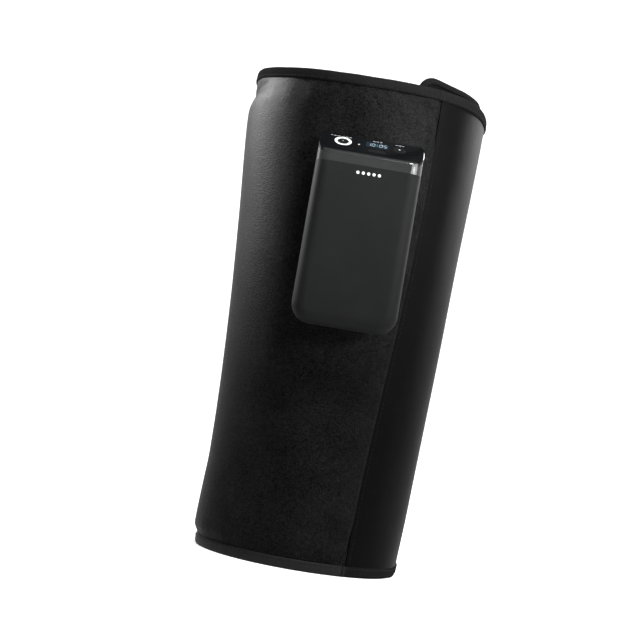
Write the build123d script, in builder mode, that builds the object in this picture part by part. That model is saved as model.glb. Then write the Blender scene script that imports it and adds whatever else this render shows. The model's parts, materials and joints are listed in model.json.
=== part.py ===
from build123d import *
import math
import os

# ---------------------------------------------------------------------------
# Calf compression sleeve with its air pump module.
# +X right, +Y to the back of the leg, +Z up the leg, millimetres.
# The sleeve stands on its lower hem.  The pump is on the front (-Y).
# ---------------------------------------------------------------------------

# --- overall -----------------------------------------------------------------
H = 310.0            # sleeve height, hem to hem
X0, Y0 = 0.55, 13.2   # sleeve axis in plan; the origin is under the box centre
FAB0, FAB1 = 1.0, 309.0   # raw fabric edges inside the bindings
SPIRAL = 4.0         # the wrap spirals inwards by twice this at the right side

# --- sleeve section ------------------------------------------------------------
KNIT = 1.6           # outer knit thickness
LINE = 1.2           # lining thickness
END_DEG = 20.0       # chamber ends this far right of the front centre
BACK_END = 65.0      # chamber ends here behind the right side (plan angle)
FLAP = 3.0           # closure flap thickness
TAIL = 2.2           # inner tail thickness
TAIL_IN = 0.6        # tail set in from the flap's own profile
BIND = 0.9           # binding tape thickness
BAND = 6.4           # binding depth on each hem
SEAM_GAP = 0.15      # half the gap at the flap seam

# outer face of the chamber panel, radius at height
O_PTS = [(1, 67.0), (8, 67.0), (15, 69.4), (37, 69.8), (60, 69.9), (113, 71.4),
         (170, 73.8), (222, 76.2), (256, 78.2), (284, 80.6), (292, 80.4),
         (298, 78.9), (309, 78.9)]
# chamber depth behind the knit at height (three pillows between welds)
D_PTS = [(1, 0), (9, 0), (15, 5), (30, 9), (88, 9), (100, 6), (106, 2.4),
         (112, 6), (124, 9), (186, 9), (198, 6), (204, 2.4), (210, 6),
         (222, 9), (276, 9), (289, 5), (297, 0), (309, 0)]
# outer face of the closure flap, radius at height
F_PTS = [(1, 67.0), (10, 67.3), (37, 68.8), (99, 71.2), (160, 73.5),
         (222, 75.5), (284, 77.9), (309, 78.6)]


def at(points, z):
    for (z0, v0), (z1, v1) in zip(points, points[1:]):
        if z0 <= z <= z1:
            return v0 + (v1 - v0) * (z - z0) / (z1 - z0)
    return points[0][1] if z < points[0][0] else points[-1][1]


def levels(z0, z1, *lists):
    zs = {z0, z1}
    for pts in lists:
        zs |= {p[0] for p in pts if z0 < p[0] < z1}
    return sorted(zs)


def band(outer, inner, zs, shift=0.0):
    """Closed (r, z) outline between two radius functions."""
    a = [(outer(z) - shift, z) for z in zs]
    b = [(inner(z) - shift, z) for z in reversed(zs)]
    return a + b + [a[0]]


def meridian(deg, shift=0.0):
    """Plane through the sleeve axis (or the spiral's axis) at a plan angle."""
    c, s = math.cos(math.radians(deg)), math.sin(math.radians(deg))
    return Plane(origin=(X0 - shift, Y0, 0), x_dir=(c, s, 0), z_dir=(s, -c, 0))


def knit_in(z):
    return at(O_PTS, z) - KNIT


def lining_out(z):
    return at(O_PTS, z) - KNIT - at(D_PTS, z)


def lining_in(z):
    return lining_out(z) - LINE


AXIS_A = Axis((X0, Y0, 0), (0, 0, 1))             # left side round the front
AXIS_B = Axis((X0 - SPIRAL, Y0, 0), (0, 0, -1))   # left side round the back
ARC_A = 90 + END_DEG
ARC_B = 180 - BACK_END
LEFT = meridian(180)
LEFT_B = meridian(180, SPIRAL)

# --- seam line of the closure flap, from the lower hem to the upper ----------------
S0_DEG, S1_DEG = 29.0, 34.5
HINGE_OUT = 1.2      # hinge line lies just outside the binding
S0 = Vector(X0 + (67.0 + HINGE_OUT) * math.sin(math.radians(S0_DEG)),
            Y0 - (67.0 + HINGE_OUT) * math.cos(math.radians(S0_DEG)), 0)
S1 = Vector(X0 + (78.6 + HINGE_OUT) * math.sin(math.radians(S1_DEG)),
            Y0 - (78.6 + HINGE_OUT) * math.cos(math.radians(S1_DEG)), H)
SEAM_DIR = (S1 - S0).normalized()
mid_deg = math.radians((S0_DEG + S1_DEG) / 2)
RADIAL = Vector(math.sin(mid_deg), -math.cos(mid_deg), 0)
SEAM_N = SEAM_DIR.cross(RADIAL).normalized()      # points to the flap's side
if SEAM_N.X < 0:
    SEAM_N = SEAM_N * -1
SEAM_KEEP = Plane(origin=S0 - SEAM_N * SEAM_GAP, z_dir=SEAM_N)
SEAM_CUT = Plane(origin=S0 + SEAM_N * SEAM_GAP, z_dir=SEAM_N)
print("hinge point", tuple(round(v, 4) for v in S0), "axis",
      tuple(round(v, 5) for v in SEAM_DIR))

# --- pump ---------------------------------------------------------------------------
PW, PD = 65.2, 22.7          # pump width and depth
PX = X0 + 4.75               # pump centre line
PF = Y0 - 103.0              # pump front face
PB = PF + PD                 # pump back face
PC = (PF + PB) / 2
PZ0, PZB, PZF, PZT = 152.0, 251.2, 257.2, 274.6  # bottom, band, top front, slope's end
PZC = 271.8                  # level back edge of the top
SKIN = 2.0                   # housing wall
PART_Y = PF + 14.0           # parting plane of the two housings
TILT = math.degrees(math.atan2(PZT - PZF, PD))
TC, TS = math.cos(math.radians(TILT)), math.sin(math.radians(TILT))
FASCIA = 1.6                 # fascia panel thickness
BOSS_IN = 2.6                # screw bosses start this far behind the front face
PIPE_Z, PIPE_PITCH, PIPE_R, PIPE_U = 246.7, 3.3, 0.95, 0.65
BUTTON_GAP = 0.08            # radial clearance of each key
PORT_Z, PORT_PITCH, PORT_R = 232.0, 14.0, 2.8   # air ports between pump and sleeve
MOUNT_U, MOUNT_V, MOUNT_Z = 42.0, 56.0, 200.0   # cradle screws
SCREW_UV = ((-26.4, -35), (26.4, -35), (-26.4, 38), (26.4, 38))


def top_plane(depth=0.0, u=0.0, v=0.0):
    """Plane in the slanted top: u to the right, v up the slope from its middle,
    depth below the surface."""
    origin = (PX + u, PC + v * TC + depth * TS,
              (PZF + PZT) / 2 + v * TS - depth * TC)
    return Plane(origin=origin, x_dir=(1, 0, 0), z_dir=(0, -TS, TC))


# places on the fascia (right, up the slope)
POWER_UV = (-18.1, 0.7)
DISPLAY_UV = (3.0, 2.0)
TIME_UV = (3.0, -5.6)
LEVEL_UV = (16.9, 0.9)
STATUS_UV = (-8.2, -0.4)

parts = []


def finish(builder, name):
    builder.part.label = name
    parts.append(name)
    export_step(builder.part, f"parts/{name}.step")


os.makedirs("parts", exist_ok=True)

# =====================================================================================
# Sleeve: chamber panel
# =====================================================================================
zs_o = levels(FAB0, FAB1, O_PTS)
zs_l = levels(FAB0, FAB1, O_PTS, D_PTS)

with BuildPart() as allowance:
    with BuildSketch(meridian(-90 + END_DEG)):
        with BuildLine():
            Polyline(*band(lambda z: at(F_PTS, z), lambda z: at(F_PTS, z) - FLAP,
                           levels(FAB0, FAB1, F_PTS)))
        make_face()
    revolve(axis=AXIS_A, revolution_arc=22)
    split(bisect_by=SEAM_KEEP, keep=Keep.BOTTOM)

with BuildPart() as outer_panel:
    with BuildSketch(LEFT):
        with BuildLine():
            Polyline(*band(lambda z: at(O_PTS, z), knit_in, zs_o))
        make_face()
    revolve(axis=AXIS_A, revolution_arc=ARC_A)
    with BuildSketch(LEFT_B):
        with BuildLine():
            Polyline(*band(lambda z: at(O_PTS, z), knit_in, zs_o, SPIRAL))
        make_face()
    revolve(axis=AXIS_B, revolution_arc=ARC_B)
    # closed ends of the chamber
    with BuildSketch(meridian(-90 + END_DEG)):
        with BuildLine():
            Polyline(*band(lambda z: at(O_PTS, z), lining_out, zs_l))
        make_face()
    revolve(axis=AXIS_A, revolution_arc=-1.2)
    with BuildSketch(meridian(BACK_END, SPIRAL)):
        with BuildLine():
            Polyline(*band(lambda z: at(O_PTS, z), lining_out, zs_l, SPIRAL))
        make_face()
    revolve(axis=AXIS_B, revolution_arc=-1.2)
    # flat allowance that the flap is sewn to
    add(allowance.part)
    # holes for the three air ports
    with BuildSketch(Plane(origin=(PX, PB, PORT_Z), x_dir=(1, 0, 0), z_dir=(0, -1, 0))):
        with GridLocations(PORT_PITCH, 1, 3, 1):
            Circle(PORT_R + 0.05)
    extrude(amount=-12, mode=Mode.SUBTRACT)
finish(outer_panel, "outer_panel")

with BuildPart() as lining:
    with BuildSketch(LEFT):
        with BuildLine():
            Polyline(*band(lining_out, lining_in, zs_l))
        make_face()
    revolve(axis=AXIS_A, revolution_arc=ARC_A)
    with BuildSketch(LEFT_B):
        with BuildLine():
            Polyline(*band(lining_out, lining_in, zs_l, SPIRAL))
        make_face()
    revolve(axis=AXIS_B, revolution_arc=ARC_B)
finish(lining, "lining")

# three air bladders, one over the other
FILM = 0.7


def bladder_outline(z0, z1, inset, shift=0.0):
    zs = levels(z0 + inset, z1 - inset, O_PTS, D_PTS)
    return band(lambda z: knit_in(z) - 0.15 - inset,
                lambda z: lining_out(z) + 0.15 + inset, zs, shift)


def bladder(z0, z1):
    with BuildPart() as b:
        for plane, axis, arc, shift in ((LEFT, AXIS_A, ARC_A - 1.5, 0.0),
                                        (LEFT_B, AXIS_B, ARC_B - 1.5, SPIRAL)):
            with BuildSketch(plane):
                with BuildLine():
                    Polyline(*bladder_outline(z0, z1, 0.0, shift))
                make_face()
                with BuildLine():
                    Polyline(*bladder_outline(z0 + 3.4, z1 - 3.4, FILM, shift))
                make_face(mode=Mode.SUBTRACT)
            revolve(axis=axis, revolution_arc=arc)
        for plane, axis, shift in ((meridian(-90 + END_DEG - 1.5), AXIS_A, 0.0),
                                   (meridian(BACK_END + 1.5, SPIRAL), AXIS_B, SPIRAL)):
            with BuildSketch(plane):
                with BuildLine():
                    Polyline(*bladder_outline(z0, z1, 0.0, shift))
                make_face()
            revolve(axis=axis, revolution_arc=-0.7)
    return b


lower_bladder = bladder(15.0, 103.5)
finish(lower_bladder, "lower_bladder")
middle_bladder = bladder(108.5, 201.5)
finish(middle_bladder, "middle_bladder")
with BuildPart() as upper_bladder:
    add(bladder(206.5, 289.0).part)
    # inlets of the three air ports
    with BuildSketch(Plane(origin=(PX, PB, PORT_Z), x_dir=(1, 0, 0), z_dir=(0, -1, 0))):
        with GridLocations(PORT_PITCH, 1, 3, 1):
            Circle(PORT_R + 0.02)
    extrude(amount=-11, mode=Mode.SUBTRACT)
finish(upper_bladder, "upper_bladder")


# bindings: a folded tape over each raw hem
def hem_u(outer_r, inner_r, top, shift=0.0):
    """U section over a hem, outline in (r, z)."""
    o, i, t = outer_r - shift, inner_r - shift, BIND
    if top:
        return [(o, FAB1), (o, H - BAND), (o + t, H - BAND), (o + t, FAB1),
                (o + 0.2, H), (i - 0.2, H), (i - t, FAB1), (i - t, H - BAND),
                (i, H - BAND), (i, FAB1), (o, FAB1)]
    return [(o, FAB0), (o, BAND), (o + t, BAND), (o + t, FAB0),
            (o + 0.2, 0), (i - 0.2, 0), (i - t, FAB0), (i - t, BAND),
            (i, BAND), (i, FAB0), (o, FAB0)]


def main_binding(top):
    ro = 78.9 if top else 67.0
    edge = H - BAND if top else BAND
    rims = (at(F_PTS, FAB1), at(F_PTS, edge)) if top else (at(F_PTS, FAB0), at(F_PTS, edge))
    thick = KNIT + LINE
    with BuildPart() as short:
        with BuildSketch(meridian(-90 + END_DEG)):
            with BuildLine():
                Polyline(*hem_u(max(rims) + 0.01, min(rims) - FLAP - 0.01, top))
            make_face()
        revolve(axis=AXIS_A, revolution_arc=22)
        split(bisect_by=SEAM_KEEP, keep=Keep.BOTTOM)
    with BuildPart() as b:
        with BuildSketch(LEFT):
            with BuildLine():
                Polyline(*hem_u(ro, ro - thick, top))
            make_face()
        revolve(axis=AXIS_A, revolution_arc=ARC_A)
        with BuildSketch(LEFT_B):
            with BuildLine():
                Polyline(*hem_u(ro, ro - thick, top, SPIRAL))
            make_face()
        revolve(axis=AXIS_B, revolution_arc=ARC_B)
        add(short.part)
    return b


top_binding = main_binding(True)
finish(top_binding, "top_binding")
bottom_binding = main_binding(False)
finish(bottom_binding, "bottom_binding")

# =====================================================================================
# Closure flap: one thin panel hinged on its seam, with a bound free edge
# =====================================================================================
FLAP_END = 60.0      # plan angle where the flap's free end lies


def side_prism(outline):
    """Outline in (y, z) swept along +X over the right half of the sleeve."""
    with BuildPart() as p:
        with BuildSketch(Plane(origin=(X0 + 8, Y0, 0), x_dir=(0, 1, 0), z_dir=(1, 0, 0))):
            with BuildLine():
                Polyline(*outline)
            make_face()
        extrude(amount=90)
    return p.part


def flap_outline(inset):
    """Free outline of the flap in (y, z); inset from the binding's outer edge."""
    def hem(y):
        return max(0.0, 0.09 * (y + 20)) + inset
    e0, e1 = 57.0 - inset, 66.5 - inset
    t = H - inset
    pts = [(-90, inset), (-20, hem(-20)), (20, hem(20)), (e0 - 16, hem(e0 - 16))]
    pts += [(e0 - 7, hem(e0 - 7) + 2.5), (e0 - 2, hem(e0) + 9), (e0 + 0.6, hem(e0) + 20)]
    pts += [(e1 - 0.6, t - 20), (e1 - 2.4, t - 9), (e1 - 7.5, t - 2.5), (e1 - 16, t),
            (-90, t), (-90, inset)]
    return pts


def ring_sector(plane, axis, arc, outer, inner, z0, z1, shift=0.0, pts=F_PTS):
    with BuildPart() as p:
        with BuildSketch(plane):
            with BuildLine():
                Polyline(*band(outer, inner, levels(z0, z1, pts), shift))
            make_face()
        revolve(axis=axis, revolution_arc=arc)
    return p.part


with BuildPart() as closure_flap:
    add(ring_sector(meridian(-66), AXIS_A, 66 + FLAP_END,
                    lambda z: at(F_PTS, z), lambda z: at(F_PTS, z) - FLAP, 0, H))
    split(bisect_by=SEAM_CUT, keep=Keep.TOP)
    add(side_prism(flap_outline(1.0)), mode=Mode.INTERSECT)
finish(closure_flap, "closure_flap")

with BuildPart() as flap_binding:
    add(ring_sector(meridian(-66), AXIS_A, 66 + FLAP_END,
                    lambda z: at(F_PTS, z) + BIND, lambda z: at(F_PTS, z) - FLAP - BIND,
                    -1, H + 1, pts=[(-1, 67.0)] + F_PTS + [(H + 1, 78.6)]))
    split(bisect_by=SEAM_CUT, keep=Keep.TOP)
    add(side_prism(flap_outline(0.0)), mode=Mode.INTERSECT)
    add(side_prism(flap_outline(BAND)), mode=Mode.SUBTRACT)
    add(closure_flap.part, mode=Mode.SUBTRACT)
finish(flap_binding, "flap_binding")

# hook strips on the flap's inner face, near its free end
with BuildPart() as hook_strips:
    for z0, z1 in ((36, 96), (126, 186), (216, 276)):
        with BuildSketch(meridian(16)):
            with BuildLine():
                Polyline(*band(lambda z: at(F_PTS, z) - FLAP, lambda z: at(F_PTS, z) - FLAP - 1.0,
                               levels(z0, z1, F_PTS)))
            make_face()
        revolve(axis=AXIS_A, revolution_arc=28)
finish(hook_strips, "hook_strips")

# =====================================================================================
# Inner tail: the thin stretch panel that the flap closes over
# =====================================================================================
TAIL_ARC = BACK_END + 62


def tail_r(z):
    return at(F_PTS, z) - TAIL_IN


def tail_outline(inset):
    top = [(-66.5 + inset * 0.6, 296), (-65.6 + inset * 0.6, 311 - inset),
           (-63.0 + inset * 0.5, 317.5 - inset), (-58.5, 320.5 - inset),
           (0, 311.5 - inset), (80, H - inset)]
    bottom = [(80, 0.5 + inset), (-46, 0.5 + inset), (-52.0 + inset * 0.4, 3.0 + inset),
              (-55.6 + inset * 0.6, 12.0 + inset)]
    pts = top + bottom
    return pts + [pts[0]]


TAIL_PTS = [(-1, 67.0)] + F_PTS + [(330, 79.2)]
with BuildPart() as tail_panel:
    add(ring_sector(meridian(BACK_END, SPIRAL), AXIS_B, TAIL_ARC, tail_r,
                    lambda z: tail_r(z) - TAIL, 0, 325, SPIRAL, TAIL_PTS))
    add(side_prism(tail_outline(1.0)), mode=Mode.INTERSECT)
finish(tail_panel, "tail_panel")

with BuildPart() as tail_binding:
    add(ring_sector(meridian(BACK_END, SPIRAL), AXIS_B, TAIL_ARC, lambda z: tail_r(z) + 0.7,
                    lambda z: tail_r(z) - TAIL - 0.7, -1, 325, SPIRAL, TAIL_PTS))
    add(side_prism(tail_outline(0.0)), mode=Mode.INTERSECT)
    add(side_prism(tail_outline(BAND)), mode=Mode.SUBTRACT)
    add(tail_panel.part, mode=Mode.SUBTRACT)
finish(tail_binding, "tail_binding")

# soft loop panel on the tail's outer face
with BuildPart() as loop_panel:
    with BuildSketch(meridian(48, SPIRAL)):
        with BuildLine():
            Polyline(*band(lambda z: tail_r(z) + 0.8, tail_r, levels(20, 290, F_PTS), SPIRAL))
        make_face()
    revolve(axis=AXIS_B, revolution_arc=78)
finish(loop_panel, "loop_panel")

# =====================================================================================
# Pump: outer form and cavity
# =====================================================================================
PTOP = PZT + 4.0


def pump_block(inset, bottom_r, edge_r, z0, z1):
    with BuildPart() as b:
        with BuildSketch(Plane(origin=(PX, PF + inset, 0), x_dir=(1, 0, 0),
                               z_dir=(0, -1, 0))):
            with BuildLine():
                w = PW / 2 - inset
                Polyline((-w, z1), (w, z1), (w, z0), (-w, z0), (-w, z1))
            make_face()
            fillet(b_corners(w, z0), bottom_r)
        extrude(amount=-(PD - 2 * inset))
        for face in (Axis.Y,):
            front = b.faces().sort_by(face)[0].edges().filter_by(
                lambda e: e.center().Z < z1 - 0.5)
            fillet(front, edge_r)
            back = b.faces().sort_by(face)[-1].edges().filter_by(
                lambda e: e.center().Z < z1 - 0.5)
            fillet(back, edge_r)
    return b.part


def b_corners(w, z0):
    ctx = BuildSketch._get_context()
    return ctx.vertices().filter_by(lambda v: abs(v.Y - z0) < 1e-6)


pump_form = pump_block(0.0, 12.0, 8.6, PZ0, PTOP)
pump_cavity = pump_block(SKIN, 10.0, 6.6, PZ0 + SKIN, PTOP)

with BuildPart() as front_housing:
    add(pump_form)
    add(pump_cavity, mode=Mode.SUBTRACT)
    split(bisect_by=Plane.XY.offset(PZB), keep=Keep.BOTTOM)
    split(bisect_by=Plane.XZ.offset(-PART_Y), keep=Keep.TOP)
    # holes for the level lights
    with BuildSketch(Plane(origin=(PX + PIPE_U, PF - 1, PIPE_Z), x_dir=(1, 0, 0), z_dir=(0, -1, 0))):
        with GridLocations(PIPE_PITCH, 1, 5, 1):
            Circle(PIPE_R + 0.02)
    extrude(amount=-5, mode=Mode.SUBTRACT)
    # screw bosses behind the front wall
    with BuildSketch(Plane(origin=(PX, PF + BOSS_IN, (PZ0 + PZB) / 2), x_dir=(1, 0, 0),
                           z_dir=(0, -1, 0))):
        with Locations(*SCREW_UV):
            Circle(2.6)
    extrude(amount=-(PART_Y - PF - BOSS_IN))
    with BuildSketch(Plane(origin=(PX, PART_Y, (PZ0 + PZB) / 2), x_dir=(1, 0, 0),
                           z_dir=(0, -1, 0))):
        with Locations(*SCREW_UV):
            Circle(1.0)
    extrude(amount=9.0, mode=Mode.SUBTRACT)
finish(front_housing, "front_housing")

with BuildPart() as rear_housing:
    add(pump_form)
    add(pump_cavity, mode=Mode.SUBTRACT)
    split(bisect_by=Plane.XY.offset(PZB), keep=Keep.BOTTOM)
    split(bisect_by=Plane.XZ.offset(-PART_Y - 0.6), keep=Keep.BOTTOM)
    # screw posts
    with BuildSketch(Plane(origin=(PX, PB - SKIN + 0.3, (PZ0 + PZB) / 2), x_dir=(1, 0, 0),
                           z_dir=(0, -1, 0))):
        with Locations(*SCREW_UV):
            Circle(2.6)
    extrude(amount=PB - SKIN + 0.3 - PART_Y - 0.6)
    # screw clearance and head recess, from the back
    with BuildSketch(Plane(origin=(PX, PB + 1, (PZ0 + PZB) / 2), x_dir=(1, 0, 0),
                           z_dir=(0, -1, 0))):
        with Locations(*SCREW_UV):
            Circle(1.15)
    extrude(amount=14, mode=Mode.SUBTRACT)
    with BuildSketch(Plane(origin=(PX, PB + 1, (PZ0 + PZB) / 2), x_dir=(1, 0, 0),
                           z_dir=(0, -1, 0))):
        with Locations(*SCREW_UV):
            Circle(2.05)
    extrude(amount=4.0, mode=Mode.SUBTRACT)
    # three air ports and a boss hole pair for the cradle
    with BuildSketch(Plane(origin=(PX, PB + 1, PORT_Z), x_dir=(1, 0, 0), z_dir=(0, -1, 0))):
        with GridLocations(PORT_PITCH, 1, 3, 1):
            Circle(2.9)
    extrude(amount=6, mode=Mode.SUBTRACT)
    with BuildSketch(Plane(origin=(PX, PB + 1, MOUNT_Z), x_dir=(1, 0, 0), z_dir=(0, -1, 0))):
        with GridLocations(MOUNT_U, MOUNT_V, 2, 2):
            Circle(1.25)
    extrude(amount=6, mode=Mode.SUBTRACT)
    # charging socket opening in the left side
    with BuildSketch(Plane(origin=(PX - PW / 2 - 1, PART_Y + 3.2, 222), x_dir=(0, 1, 0),
                           z_dir=(1, 0, 0))):
        RectangleRounded(3.4, 9.2, 1.6)
    extrude(amount=9.2, mode=Mode.SUBTRACT)
finish(rear_housing, "rear_housing")

# soft seal between the two housings
with BuildPart() as housing_gasket:
    add(pump_form)
    add(pump_cavity, mode=Mode.SUBTRACT)
    split(bisect_by=Plane.XY.offset(PZB), keep=Keep.BOTTOM)
    split(bisect_by=Plane.XZ.offset(-PART_Y - 0.6), keep=Keep.TOP)
    split(bisect_by=Plane.XZ.offset(-PART_Y), keep=Keep.BOTTOM)
    with BuildSketch(Plane(origin=(PX, PART_Y + 1, 0), x_dir=(1, 0, 0), z_dir=(0, -1, 0))):
        with Locations((0, PZ0 + 60)):
            Rectangle(PW - 1.2, 118.8)
    extrude(amount=3, mode=Mode.INTERSECT)
finish(housing_gasket, "housing_gasket")

# gloss cap: the band round the top, open above for the fascia
with BuildPart() as top_cap:
    add(pump_form)
    split(bisect_by=Plane.XY.offset(PZB), keep=Keep.TOP)
    split(bisect_by=top_plane(FASCIA), keep=Keep.BOTTOM)
    split(bisect_by=Plane.XY.offset(PZC), keep=Keep.BOTTOM)
    add(pump_cavity, mode=Mode.SUBTRACT)
    # ledge that carries the control board
    with BuildSketch(Plane.XY.offset(PZB)):
        with Locations((PX, PC)):
            RectangleRounded(PW - 2 * SKIN + 0.4, PD - 2 * SKIN + 0.4, 6.6)
            RectangleRounded(PW - 2 * SKIN - 5, PD - 2 * SKIN - 5, 4.5, mode=Mode.SUBTRACT)
    extrude(amount=1.2)
finish(top_cap, "top_cap")

with BuildPart() as control_fascia:
    add(pump_form)
    split(bisect_by=top_plane(FASCIA), keep=Keep.TOP)
    split(bisect_by=top_plane(0), keep=Keep.BOTTOM)
    split(bisect_by=Plane.XY.offset(PZC), keep=Keep.BOTTOM)
    chamfer(control_fascia.faces().sort_by(SortBy.AREA)[-2:].sort_by(Axis.Z)[-1].edges(), 0.35)
    with BuildSketch(top_plane(-2, *POWER_UV)):
        Circle(5.32)
    extrude(amount=-6, mode=Mode.SUBTRACT)
    with BuildSketch(top_plane(-2, *LEVEL_UV)):
        Circle(4.0 + BUTTON_GAP)
    extrude(amount=-6, mode=Mode.SUBTRACT)
    with BuildSketch(top_plane(-2, *TIME_UV)):
        RectangleRounded(11 + 2 * BUTTON_GAP, 4.2 + 2 * BUTTON_GAP, 2.0 + BUTTON_GAP)
    extrude(amount=-6, mode=Mode.SUBTRACT)
    with BuildSketch(top_plane(-2, *DISPLAY_UV)):
        RectangleRounded(14.2, 6.4, 1.0)
    extrude(amount=-6, mode=Mode.SUBTRACT)
    with BuildSketch(top_plane(-2, *STATUS_UV)):
        Circle(0.7)
    extrude(amount=-6, mode=Mode.SUBTRACT)
finish(control_fascia, "control_fascia")

with BuildPart() as power_ring_light:
    with BuildSketch(top_plane(0.0, *POWER_UV)):
        Circle(5.3)
        Circle(3.6 + BUTTON_GAP, mode=Mode.SUBTRACT)
    extrude(amount=-FASCIA)
finish(power_ring_light, "power_ring_light")

with BuildPart() as power_button:
    with BuildSketch(top_plane(0.0, *POWER_UV)):
        Circle(3.6)
    extrude(amount=-2.0)
    with BuildSketch(top_plane(2.0, *POWER_UV)):
        Circle(1.2)
    extrude(amount=-0.8)
    chamfer(power_button.faces().sort_by(Axis.Z)[-1].edges(), 0.25)
finish(power_button, "power_button")

with BuildPart() as level_button:
    with BuildSketch(top_plane(0.0, *LEVEL_UV)):
        Circle(4.0)
    extrude(amount=-2.0)
    with BuildSketch(top_plane(2.0, *LEVEL_UV)):
        Circle(1.2)
    extrude(amount=-0.8)
    chamfer(level_button.faces().sort_by(Axis.Z)[-1].edges(), 0.25)
finish(level_button, "level_button")

with BuildPart() as time_button:
    with BuildSketch(top_plane(0.0, *TIME_UV)):
        RectangleRounded(11, 4.2, 2.0)
    extrude(amount=-2.0)
    with BuildSketch(top_plane(2.0, *TIME_UV)):
        Circle(1.2)
    extrude(amount=-0.8)
    chamfer(time_button.faces().sort_by(Axis.Z)[-1].edges(), 0.25)
finish(time_button, "time_button")

with BuildPart() as display_window:
    with BuildSketch(top_plane(0.0, *DISPLAY_UV)):
        RectangleRounded(14.16, 6.36, 1.0)
    extrude(amount=-1.0)
finish(display_window, "display_window")

with BuildPart() as display_module:
    with BuildSketch(top_plane(1.0, *DISPLAY_UV)):
        Rectangle(13.4, 5.6)
    extrude(amount=-2.6)
finish(display_module, "display_module")

with BuildPart() as status_light:
    with BuildSketch(top_plane(0.0, *STATUS_UV)):
        Circle(0.68)
    extrude(amount=-3.4)
finish(status_light, "status_light")

# control board under the fascia with its three tact switches
BOARD_D = 4.4
with BuildPart() as control_board:
    with BuildSketch(top_plane(BOARD_D, 0, -2.0)):
        RectangleRounded(52, 17.0, 3)
    extrude(amount=-1.0)
finish(control_board, "control_board")

with BuildPart() as tact_switches:
    for uv in (POWER_UV, LEVEL_UV, TIME_UV):
        with BuildSketch(top_plane(BOARD_D, *uv)):
            Rectangle(3.4, 3.4)
        extrude(amount=0.9)
finish(tact_switches, "tact_switches")

# five level lights: short clear rods through the front wall
with BuildPart() as level_light_pipes:
    with BuildSketch(Plane(origin=(PX + PIPE_U, PF + 0.02, PIPE_Z), x_dir=(1, 0, 0), z_dir=(0, -1, 0))):
        with GridLocations(PIPE_PITCH, 1, 5, 1):
            Circle(PIPE_R)
    extrude(amount=-2.8)
finish(level_light_pipes, "level_light_pipes")

# =====================================================================================
# Pump: inner parts
# =====================================================================================
MB_Y = PF + 3.0
with BuildPart() as main_board:
    with BuildSketch(Plane(origin=(PX, MB_Y, 0), x_dir=(1, 0, 0), z_dir=(0, -1, 0))):
        with Locations((0, 202)):
            RectangleRounded(47.5, 88, 3)
        with Locations((0, 202)):
            Rectangle(51.5, 60)
    extrude(amount=-1.2)
    # chips
    for cx, cz, w, h in ((-12, 222, 9, 9), (8, 232, 12, 5), (12, 170, 6, 8)):
        with BuildSketch(Plane(origin=(PX + cx, MB_Y, cz), x_dir=(1, 0, 0), z_dir=(0, -1, 0))):
            Rectangle(w, h)
        extrude(amount=0.8)
finish(main_board, "main_board")

CELL_Y = PC + 1.0
CELL_R, CELL_L, CELL_Z = 6.0, 48.0, 158.0
CELLS = (-15.5, -2.5)
with BuildPart() as battery_cells:
    with BuildSketch(Plane.XY.offset(CELL_Z)):
        with Locations(*[(PX + u, CELL_Y) for u in CELLS]):
            Circle(CELL_R)
    extrude(amount=CELL_L)
    with BuildSketch(Plane.XY.offset(CELL_Z + CELL_L)):
        with Locations(*[(PX + u, CELL_Y) for u in CELLS]):
            Circle(2.2)
    extrude(amount=1.0)
    fillet(battery_cells.edges().filter_by(GeomType.CIRCLE).filter_by(
        lambda e: e.radius > 5), 0.6)
finish(battery_cells, "battery_cells")

with BuildPart() as battery_holder:
    for z0, z1 in ((CELL_Z - 2.0, CELL_Z), (CELL_Z + CELL_L + 1.0, CELL_Z + CELL_L + 3.0)):
        with BuildSketch(Plane.XY.offset(z0)):
            with Locations((PX + sum(CELLS) / 2, CELL_Y)):
                Rectangle(25.6, 12.2)
        extrude(amount=z1 - z0)
    with BuildSketch(Plane.XY.offset(CELL_Z - 2.0)):
        with Locations((PX + sum(CELLS) / 2, CELL_Y)):
            Rectangle(0.9, 12.2)
    extrude(amount=CELL_L + 5.0)
    with BuildSketch(Plane.XY.offset(CELL_Z)):
        with Locations((PX + CELLS[0], CELL_Y), (PX + CELLS[1], CELL_Y)):
            Circle(CELL_R + 0.05)
    extrude(amount=CELL_L, mode=Mode.SUBTRACT)
finish(battery_holder, "battery_holder")

# diaphragm air pump: motor below, head above, an eccentric between
MOT_U, MOT_Y = 15.0, PC + 2.0
MOT_R = 6.4
with BuildPart() as pump_motor:
    with BuildSketch(Plane.XY.offset(158)):
        with Locations((PX + MOT_U, MOT_Y)):
            Circle(MOT_R)
    extrude(amount=24)
    fillet(pump_motor.edges().filter_by(GeomType.CIRCLE).sort_by(Axis.Z)[0], 0.8)
    with BuildSketch(Plane.XY.offset(182)):
        with Locations((PX + MOT_U, MOT_Y)):
            Circle(2.6)
    extrude(amount=1.2)
    with BuildSketch(Plane.XY.offset(170)):
        with Locations((PX + MOT_U, MOT_Y)):
            Circle(0.99)
    extrude(amount=14, mode=Mode.SUBTRACT)
finish(pump_motor, "pump_motor")

with BuildPart() as pump_shaft:
    with BuildSketch(Plane.XY.offset(171)):
        with Locations((PX + MOT_U, MOT_Y)):
            Circle(0.95)
    extrude(amount=15.4)
    with BuildSketch(Plane.XY.offset(185.4)):
        with Locations((PX + MOT_U + 0.7, MOT_Y)):
            Circle(3.2)
    extrude(amount=3.4)
    with BuildSketch(Plane.XY.offset(188.8)):
        with Locations((PX + MOT_U + 1.2, MOT_Y)):
            Circle(0.8)
    extrude(amount=2.6)
finish(pump_shaft, "pump_shaft")

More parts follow.
